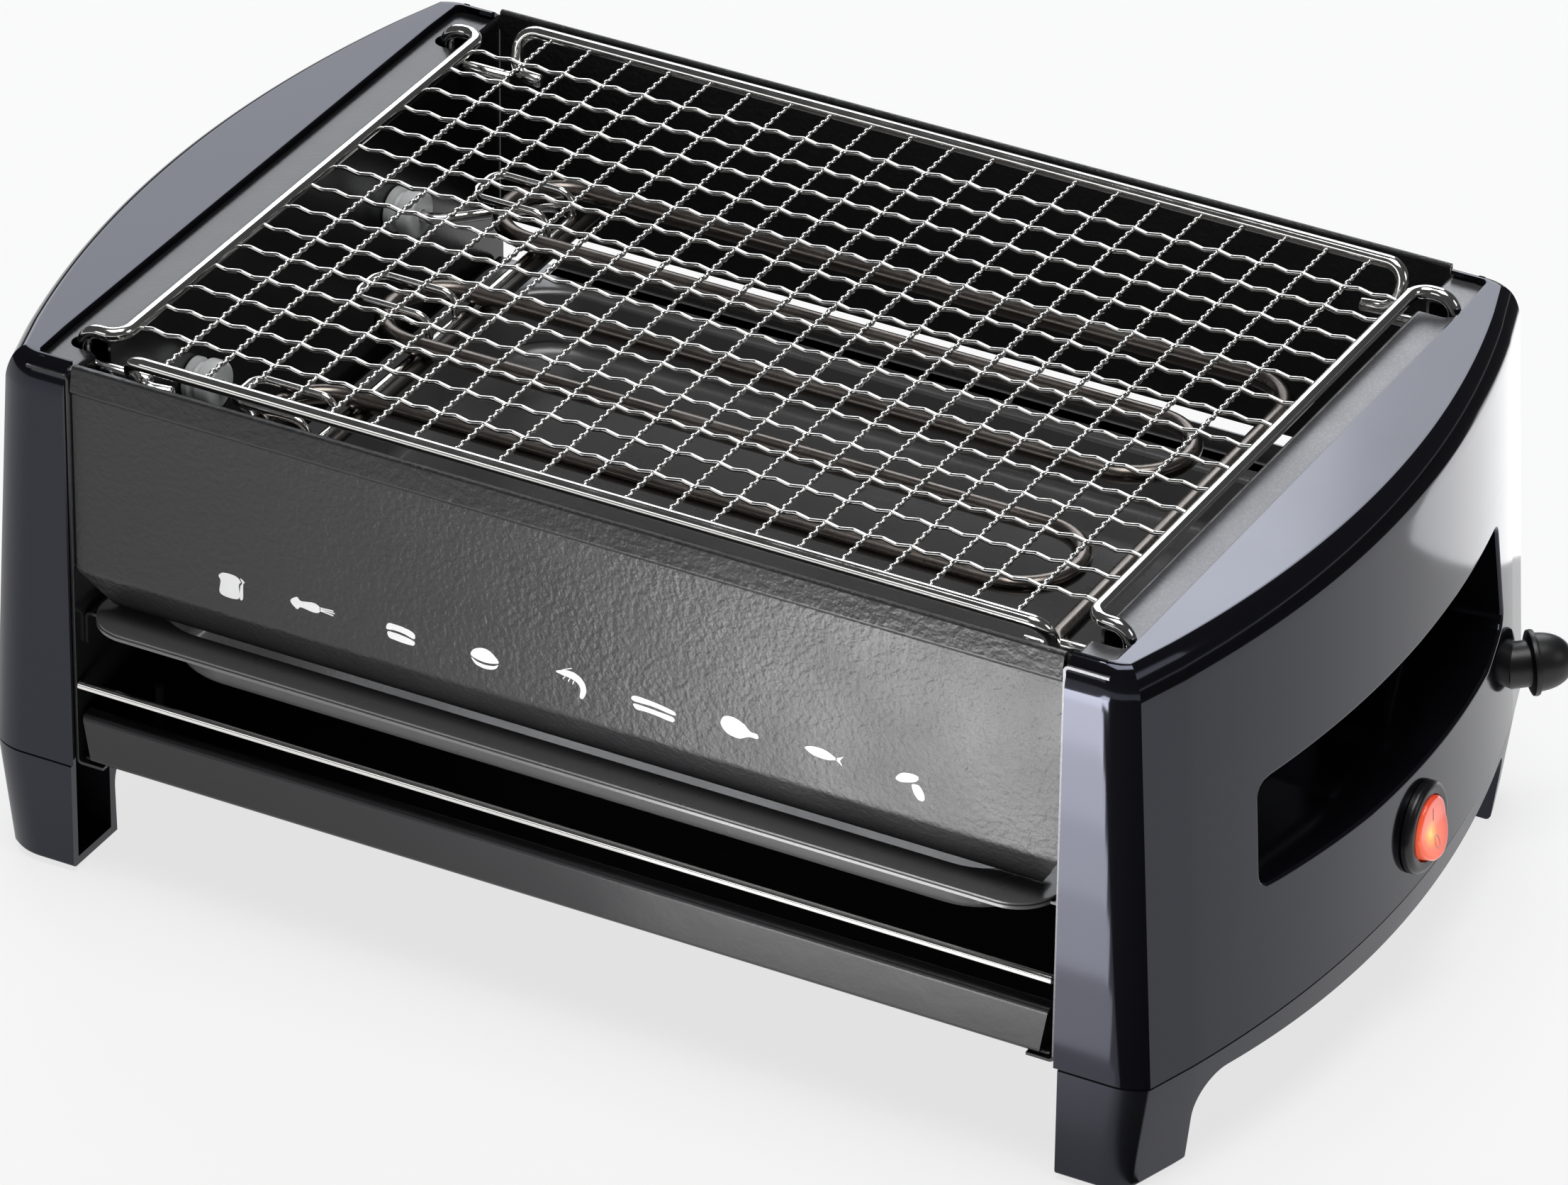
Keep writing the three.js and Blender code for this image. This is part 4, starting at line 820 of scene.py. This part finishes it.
# Bottom covers with the legs
FOOT_BOTTOM = 1.5
LEG_WALL = 2.5
LEG_OUT = 1.2  # the inner end, beyond the side cover's
ARCH_HALF, ARCH_Z, ARCH_SAG = COVER_Y - 26, 33.0, 4.0  # between the legs


def bottom_cover_mesh():
    """The right bottom cover: an outer block without the arch between its legs and without its hollow."""
    columns = spaced(-BOW_END, BOW_END, 4) + [BOW_END]
    taper = -5.0 - FLARE * SEAM_Z / (TOP_Z - SEAM_Z)
    levels = [(FOOT_BOTTOM, 2.0, taper), (1.9, 1.1, taper), (3.0, 0.5, taper * 0.97), (39.9, 0.5, 0), (40.7, 1.5, 0)]
    outer = bare("legs", *closed_loft([
        plan_points(z, inset, columns, shift, COVER_X + LEG_OUT) for z, inset, shift in levels]))
    reach_y = ARCH_HALF - 15
    arch = [(y, ARCH_Z - ARCH_SAG * (1 - (y / ARCH_HALF) ** 2)) for y in spaced(-reach_y, reach_y, 6) + [reach_y]]
    right = rounded([(*arch[-1], 0), (ARCH_HALF, ARCH_Z, 0), (ARCH_HALF - 1.5, -5, 0)], 13, 8)[1:]
    right = [(p.x, p.y) for p in right]
    left = [(-y, z) for y, z in reversed(right)]
    cut_from(outer, bare("arch", *prism(left + arch + right, 160, 240)))
    floor_z = FOOT_BOTTOM + 3
    inner = bare("hollow", *closed_loft([plan_points(floor_z, 3.5, columns, taper), plan_points(55, 3.5, columns)]))
    edge = ARCH_HALF + LEG_WALL
    keep = [(-150, floor_z), (-edge, floor_z), (-edge, 30)] + [(y, z + LEG_WALL) for y, z in arch]
    keep += [(edge, 30), (edge, floor_z), (150, floor_z), (150, 60), (-150, 60)]
    cut_from(inner, bare("keep", *prism(keep, 150, 245)), "INTERSECT")
    inner.data.transform(Matrix.Translation((-3 * MM, 0, 0)))
    cut_from(outer, inner)
    return outer


legs = bottom_cover_mesh()
for name, sign in (("right", 1), ("left", -1)):
    mesh = legs.data.copy()
    if sign < 0:
        mesh.transform(Matrix.Translation((2 * SHIFT.x * MM, 0, 0)) @ Matrix.Scale(-1, 4, (1, 0, 0)))
        mesh.flip_normals()
    mesh.materials.clear()
    mesh.materials.append(satin)
    obj = add_object(f"{name}_legs_skin", mesh)
    add_bevel(obj, 0.7, 50)
    clean(obj, 35)
    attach(obj, "housing")
    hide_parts(f"{name}_bottom_cover")
bpy.data.objects.remove(legs)


# Switch and cord inlet, on frames that stand on the cover's face
def face_frame(y, z, turn=0.0):
    angle = math.asin(y / BOW_R)
    heading = angle + math.radians(turn)
    out = Vector((math.cos(heading), math.sin(heading), FLARE / (TOP_Z - SEAM_Z))).normalized()
    side = Vector((0, 0, 1)).cross(out).normalized()
    rise = out.cross(side)
    basis = Matrix((side, rise, out)).transposed().to_4x4()
    return Matrix.Translation((bow_centre(z) + BOW_R * math.cos(angle), y, z)) @ basis


SWITCH_Y, SWITCH_Z = 12.1, 61.0
BORE_R, SKIRT_R, BEZEL_R = 11.0, 12.4, 15.3
switch_frame = face_frame(SWITCH_Y, SWITCH_Z)
BEZEL_BACK = 0.3 + BEZEL_R ** 2 / (2 * BOW_R)
bezel_top = BEZEL_BACK + 3.0
ring_profile = [(BORE_R, -6), (BORE_R, bezel_top - 1.2)]
ring_profile += [(BORE_R + 0.5 * (1 - c), bezel_top - 0.6 + 0.5 * s) for s, c in quarter(4)]
ring_profile += [(13.0, bezel_top)]
ring_profile += [(13.0 + 2.3 * s, bezel_top - 2.2 * (1 - c)) for s, c in quarter(8)[1:]]
ring_profile += [(BEZEL_R, BEZEL_BACK - 0.4), (SKIRT_R, BEZEL_BACK - 0.4), (SKIRT_R, -6), (BORE_R, -6)]
piece("bezel_ring", *lathe(ring_profile, 72), switch_black, "switch_black", stands_for=["switch_bezel"],
      frame_matrix=switch_frame)

ROCKER_R, DOME_R, VALLEY_Z = 10.45, 11.35, 3.4
ROCKER_TILT = math.radians(8)
rocker_matrix = switch_frame @ Matrix.Translation((0, 0, bezel_top - 2.2)) @ Matrix.Rotation(-ROCKER_TILT, 4, "X")

# Lens: a lamp glows through it from one side
lens, nodes, links = new_material("rocker lens")
shader = nodes["Principled BSDF"]
set_inputs(shader, {"Roughness": 0.14, "Coat Weight": 0.6, "Emission Strength": 0.75})
spot = place(rocker_matrix @ Vector((-2.8, -0.8, 2.5)))
coords = nodes.new("ShaderNodeTexCoord")
apart = nodes.new("ShaderNodeVectorMath")
apart.operation = "DISTANCE"
apart.inputs[1].default_value = spot
links.new(coords.outputs["Object"], apart.inputs[0])
glow = nodes.new("ShaderNodeValToRGB")
glow.color_ramp.elements[0].color = (1.0, 0.75, 0.18, 1)
glow.color_ramp.elements[1].color = (0.55, 0.035, 0.016, 1)
for share, color in ((0.16, (1.0, 0.36, 0.07, 1)), (0.38, (0.88, 0.14, 0.06, 1))):
    glow.color_ramp.elements.new(share).color = color
reach_node = nodes.new("ShaderNodeMapRange")
reach_node.inputs["From Max"].default_value = 13.0 * MM
links.new(apart.outputs["Value"], reach_node.inputs["Value"])
links.new(reach_node.outputs["Result"], glow.inputs["Fac"])
links.new(glow.outputs["Color"], shader.inputs["Emission Color"])
links.new(glow.outputs["Color"], shader.inputs["Base Color"])


def valley_height(y):
    return VALLEY_Z + math.tan(ROCKER_TILT) * (math.sqrt(y * y + 0.5) - math.sqrt(0.5))


def rocker_shape():
    """A round rocker with two faces that meet in a shallow valley."""
    steps, around = 22, circle(72)
    rings = []
    for i in range(steps + 1):
        r = ROCKER_R * i / steps
        dome = math.sqrt(max(0.0, DOME_R ** 2 - r * r)) - 0.1
        eased = 0.9 * max(0.0, r - ROCKER_R + 1.0) ** 2
        rings.append([Vector((r * c, r * s, min(dome, valley_height(r * s) - eased))) for c, s in around])
    rings.append([Vector((ROCKER_R * c, ROCKER_R * s, -4.5)) for c, s in around])
    verts, faces = strip(rings)
    faces.append(tuple(range(len(verts) - len(around), len(verts))))
    return verts, faces


piece("rocker", *rocker_shape(), lens, "rocker_lens", "switch_rocker", ["switch_rocker"],
      frame_matrix=rocker_matrix, angle=50)
mark = node_material("rocker marks", (0.85, 0.55, 0.5), 0.3)
on_line = [(0, y, valley_height(y) + 0.02) for y in (2.6, 4.2, 5.8, 7.0)]
off_line = [(1.5 * c, 2.2 * s - 4.9, valley_height(2.2 * s - 4.9) + 0.02) for c, s in circle(36)]
piece("rocker_on_mark", *tube(on_line, 0.22, 8), mark, "rocker_lens", "switch_rocker",
      frame_matrix=rocker_matrix, weld=False)
piece("rocker_off_mark", *tube(off_line, 0.22, 8, closed=True), mark, "rocker_lens", "switch_rocker",
      frame_matrix=rocker_matrix, weld=False)

INLET_Y, INLET_Z, INLET_TURN = 117.1, 59.0, 22.0
inlet_frame = face_frame(INLET_Y, INLET_Z, INLET_TURN)
inlet_profile = [(3.8, 4), (7.7, -3), (7.7, 4.6), (9.6, 4.8), (10.8, 5.3), (11.0, 6.2), (10.8, 7.0), (9.7, 7.4)]
inlet_profile += [(9.6 * c ** 0.8, 7.4 + 12 * s) for s, c in quarter(10)[1:-1]]
inlet_profile += [(3.8, 19.1), (3.8, 4)]
piece("inlet_boot", *lathe(inlet_profile), rubber, "rubber", stands_for=["cord_inlet"], frame_matrix=inlet_frame,
      angle=40)


# Food pictograms, printed on the front panel
def smooth_outline(points, steps=6):
    """A closed curve through the points."""
    count = len(points)
    result = []
    for k in range(count):
        p0, p1, p2, p3 = (Vector(points[(k + d) % count]) for d in (-1, 0, 1, 2))
        for j in range(steps):
            t = j / steps
            result.append(0.5 * (2 * p1 + (p2 - p0) * t + (2 * p0 - 5 * p1 + 4 * p2 - p3) * t * t
                                 + (3 * p1 - p0 - 3 * p2 + p3) * t ** 3))
    return result


PRINT_Y = FACE_Y - 0.5 - 0.06  # just in front of the panel's face


def printed(name, x, z, outlines, size):
    """Filled outlines on the panel, each in shares of the pictogram's width and either smooth or with corners."""
    verts, faces = [], []
    for outline, smooth in outlines:
        points = smooth_outline(outline) if smooth else [Vector(p) for p in outline]
        base = len(verts)
        count = len(points)
        for depth in (0.0, 0.08):
            verts += [Vector((x + p[0] * size, PRINT_Y + depth, z + p[1] * size)) for p in points]
        faces.append(tuple(range(base, base + count)))
        for k in range(count):
            j = (k + 1) % count
            faces.append((base + k, base + count + k, base + count + j, base + j))
    piece(f"print_{name}", verts, faces, print_white, "body_enamel", weighted=False, weld=False)


def stroke(x0, z0, x1, z1, half):
    """A straight line as an outline with corners."""
    along = Vector((x1 - x0, z1 - z0)).normalized()
    n = Vector((-along.y, along.x)) * half
    return [(x0 + n.x, z0 + n.y), (x0 - n.x, z0 - n.y), (x1 - n.x, z1 - n.y), (x1 + n.x, z1 + n.y)], False


printed("toast", -117.5, 124.6, [
    ([(-0.42, -0.42), (0.30, -0.42), (0.32, 0.12), (0.40, 0.30), (0.24, 0.46), (-0.05, 0.50), (-0.34, 0.46),
      (-0.50, 0.30), (-0.42, 0.12)], True),
    ([(0.36, -0.40), (0.48, -0.36), (0.50, 0.20), (0.56, 0.32), (0.46, 0.42), (0.38, 0.44), (0.46, 0.26),
      (0.38, 0.1)], True),
], 9)
printed("squid", -88.0, 125.9, [
    ([(-0.60, 0.0), (-0.42, 0.16), (-0.30, 0.08), (0.05, 0.13), (0.22, 0.06), (0.22, -0.08), (0.05, -0.14),
      (-0.30, -0.10), (-0.42, -0.18)], True),
    stroke(0.22, 0.04, 0.60, 0.06, 0.018), stroke(0.22, 0.0, 0.64, 0.0, 0.018),
    stroke(0.22, -0.03, 0.60, -0.07, 0.018),
], 13)
printed("sausage", -55.9, 125.9, [
    ([(-0.46, 0.02), (-0.40, 0.22), (-0.15, 0.24), (0.15, 0.22), (0.42, 0.14), (0.48, 0.0), (0.40, -0.06),
      (0.10, 0.02), (-0.20, 0.04)], True),
    ([(-0.42, -0.06), (-0.20, -0.04), (0.10, -0.06), (0.44, -0.14), (0.42, -0.28), (0.15, -0.30), (-0.15, -0.28),
      (-0.38, -0.24)], True),
], 11)
printed("clam", -25.7, 125.7, [
    ([(-0.48, 0.02), (-0.36, 0.24), (-0.05, 0.36), (0.24, 0.28), (0.48, 0.02), (0.30, -0.08), (0.0, -0.12),
      (-0.30, -0.08)], True),
    ([(-0.46, -0.06), (-0.28, -0.16), (0.0, -0.20), (0.30, -0.16), (0.46, -0.08), (0.34, -0.26), (0.0, -0.34),
      (-0.32, -0.26)], True),
], 10.5)
printed("prawn", 5.4, 126.9, [
    ([(-0.50, 0.18), (-0.20, 0.30), (0.12, 0.28), (0.36, 0.10), (0.44, -0.18), (0.34, -0.44), (0.24, -0.42),
      (0.26, -0.16), (0.14, 0.02), (-0.10, 0.10), (-0.30, 0.12)], True),
    stroke(-0.30, 0.28, 0.0, 0.42, 0.012), stroke(-0.2, 0.12, -0.28, 0.0, 0.014),
    stroke(-0.06, 0.08, -0.12, -0.04, 0.014), stroke(0.06, 0.04, 0.02, -0.08, 0.014),
], 11.5)
printed("pork", 34.2, 125.9, [
    ([(-0.50, 0.05), (-0.46, 0.18), (0.0, 0.16), (0.48, 0.08), (0.50, -0.02), (0.0, 0.04)], True),
    ([(-0.48, -0.02), (-0.20, -0.02), (0.10, -0.04), (0.48, -0.08), (0.46, -0.2), (0.1, -0.16), (-0.2, -0.14),
      (-0.42, -0.14)], True),
], 14.5)
printed("steak", 64.3, 127.4, [
    ([(-0.50, 0.08), (-0.40, 0.26), (-0.15, 0.30), (0.12, 0.20), (0.30, 0.04), (0.48, 0.02), (0.50, -0.10),
      (0.26, -0.12), (0.0, -0.24), (-0.30, -0.20), (-0.46, -0.06)], True),
], 13)
printed("fish", 93.9, 127.3, [
    ([(-0.50, 0.06), (-0.30, 0.15), (0.0, 0.15), (0.30, 0.02), (0.30, -0.03), (0.05, -0.10), (-0.30, -0.07)], True),
    ([(0.28, 0.0), (0.50, 0.12), (0.40, -0.02), (0.48, -0.16), (0.34, -0.06)], False),
], 13.5)
printed("sweet_potato", 123.6, 126.0, [
    ([(-0.48, 0.08), (-0.30, 0.30), (0.0, 0.38), (0.26, 0.34), (0.20, 0.16), (-0.10, 0.04), (-0.34, 0.0)], True),
    ([(0.06, 0.02), (0.30, 0.04), (0.46, -0.20), (0.46, -0.42), (0.28, -0.44), (0.12, -0.24)], True),
], 10.5)

# Camera at the photograph's place
camera_data = bpy.data.cameras.new("camera")
camera_data.sensor_width = 36.0
camera_data.lens = 237.474
camera_data.clip_end = 60.0
camera = add_object("camera", camera_data)
right_axis = Vector((0.879928, 0.474986, 0.010714))
up_axis = Vector((-0.255361, 0.453808, 0.853726))
look = Vector((-0.400646, 0.753954, -0.520612))
camera.matrix_world = Matrix.Translation((1.334468, -2.503165, 1.816515)) @ Matrix(
    (right_axis, up_axis, -look)).transposed().to_4x4()
bpy.context.scene.camera = camera

# Studio: pale floor, dim surroundings and soft light
bpy.context.scene.view_settings.view_transform = "Standard"


def seen_rays(nodes, links):
    """One for camera, glossy and transmission rays, and nought for the light that falls on things."""
    path_kind = nodes.new("ShaderNodeLightPath")
    total = path_kind.outputs["Is Camera Ray"]
    for kind in ("Is Glossy Ray", "Is Transmission Ray"):
        either = nodes.new("ShaderNodeMath")
        either.operation = "MAXIMUM"
        links.new(total, either.inputs[0])
        links.new(path_kind.outputs[kind], either.inputs[1])
        total = either.outputs["Value"]
    return total


world = bpy.data.worlds.new("studio")
bpy.context.scene.world = world
world.use_nodes = True
set_inputs(world.node_tree.nodes["Background"], {"Color": (0.97, 0.98, 1.0, 1), "Strength": 0.06})

# Floor: a lit surface that also shines a little where it is seen
floor_material, nodes, links = new_material("floor")
shader = nodes["Principled BSDF"]
set_inputs(shader, {"Base Color": (0.88, 0.88, 0.885, 1), "Roughness": 0.9, "Specular IOR Level": 0.0})
white = nodes.new("ShaderNodeEmission")
set_inputs(white, {"Color": (1, 1, 1, 1), "Strength": 1.0})
FLOOR_GLOW = 0.75
share = nodes.new("ShaderNodeMath")
share.operation = "MULTIPLY"
share.inputs[1].default_value = FLOOR_GLOW
mix = nodes.new("ShaderNodeMixShader")
links.new(seen_rays(nodes, links), share.inputs[0])
links.new(share.outputs["Value"], mix.inputs["Fac"])
links.new(shader.outputs["BSDF"], mix.inputs[1])
links.new(white.outputs["Emission"], mix.inputs[2])
links.new(mix.outputs["Shader"], nodes["Material Output"].inputs["Surface"])
floor_mesh = bpy.data.meshes.new("floor")
floor_mesh.from_pydata([(-8, -8, 0), (8, -8, 0), (8, 8, 0), (-8, 8, 0)], [], [(0, 1, 2, 3)])
floor_mesh.materials.append(floor_material)
floor = add_object("floor", floor_mesh)


def soft_light(name, place_m, target, size, radiance, color=(1, 1, 1)):
    data = bpy.data.lights.new(name, "AREA")
    data.shape = "RECTANGLE"
    data.size, data.size_y = size
    data.energy = radiance * math.pi * size[0] * size[1]
    data.color = color
    light = add_object(name, data)
    light.location = place_m
    light.rotation_euler = (Vector(target) - Vector(place_m)).to_track_quat("-Z", "Y").to_euler()
    light.visible_camera = False


def floor_card(name, x, y, size, radiance):
    """A light that lies on the floor and shines up, for the covers and panels to mirror."""
    soft_light(name, (x, y, 0.004), (x, y, 1.0), size, radiance)


middle = (0, 0, 0.1)
soft_light("back bank", (-2.42, 2.9, 2.1), middle, (2.35, 2.4), 3.0, (0.93, 0.96, 1.0))
soft_light("right back bank", (-0.8, 2.9, 2.1), middle, (0.95, 2.2), 3.9, (0.93, 0.96, 1.0))
soft_light("top bank", (0.2, -0.2, 3.0), middle, (1.8, 1.5), 7.0)
soft_light("right bank", (2.8, 0.6, 1.6), middle, (1.2, 1.2), 1.5)
soft_light("front fill", (-1.2, -2.8, 1.2), middle, (1.4, 0.8), 1.5)
for k, radiance in enumerate((0.5, 2.6, 5.6, 7.4, 9.6, 13.0, 16.5)):
    floor_card(f"front card {k}", 0.09 - 0.016 * k, -0.18 - 0.04 * k, (0.18, 0.04), radiance)
floor_card("middle front card", 0.065, -0.53, (0.16, 0.2), 18.0)
floor_card("far front card", 0.055, -0.81, (0.18, 0.34), 14.0)
floor_card("side card", 0.25, 0.40, (0.2, 0.24), 1.5)

# Dark board: two shapes over the floor, which only reflections show; this is painted shade in the reflections on the
# covers and the front panel
dark, nodes, links = new_material("dark board")
set_inputs(nodes["Principled BSDF"], {"Base Color": (0.01, 0.01, 0.01, 1), "Roughness": 0.9})
board_mesh = bpy.data.meshes.new("dark board")
board_mesh.from_pydata([(x, y, 0.003) for x, y in (
    (0.15, -1.0), (0.9, -1.0), (0.9, -0.13), (0.2, -0.13), (0.19, -0.2), (0.105, -0.405), (0.15, -0.42),
    (0.57, 0.0), (3, 0), (3, 4), (-0.1, 4), (-0.1, 0.62), (0.19, 0.56), (0.41, 0.40), (0.57, 0.12),
)], [], [(0, 1, 2, 3, 4, 5, 6), (7, 8, 9, 10, 11, 12, 13, 14)])
board_mesh.materials.append(dark)
board = add_object("dark board", board_mesh)
board.visible_camera = board.visible_diffuse = board.visible_shadow = False
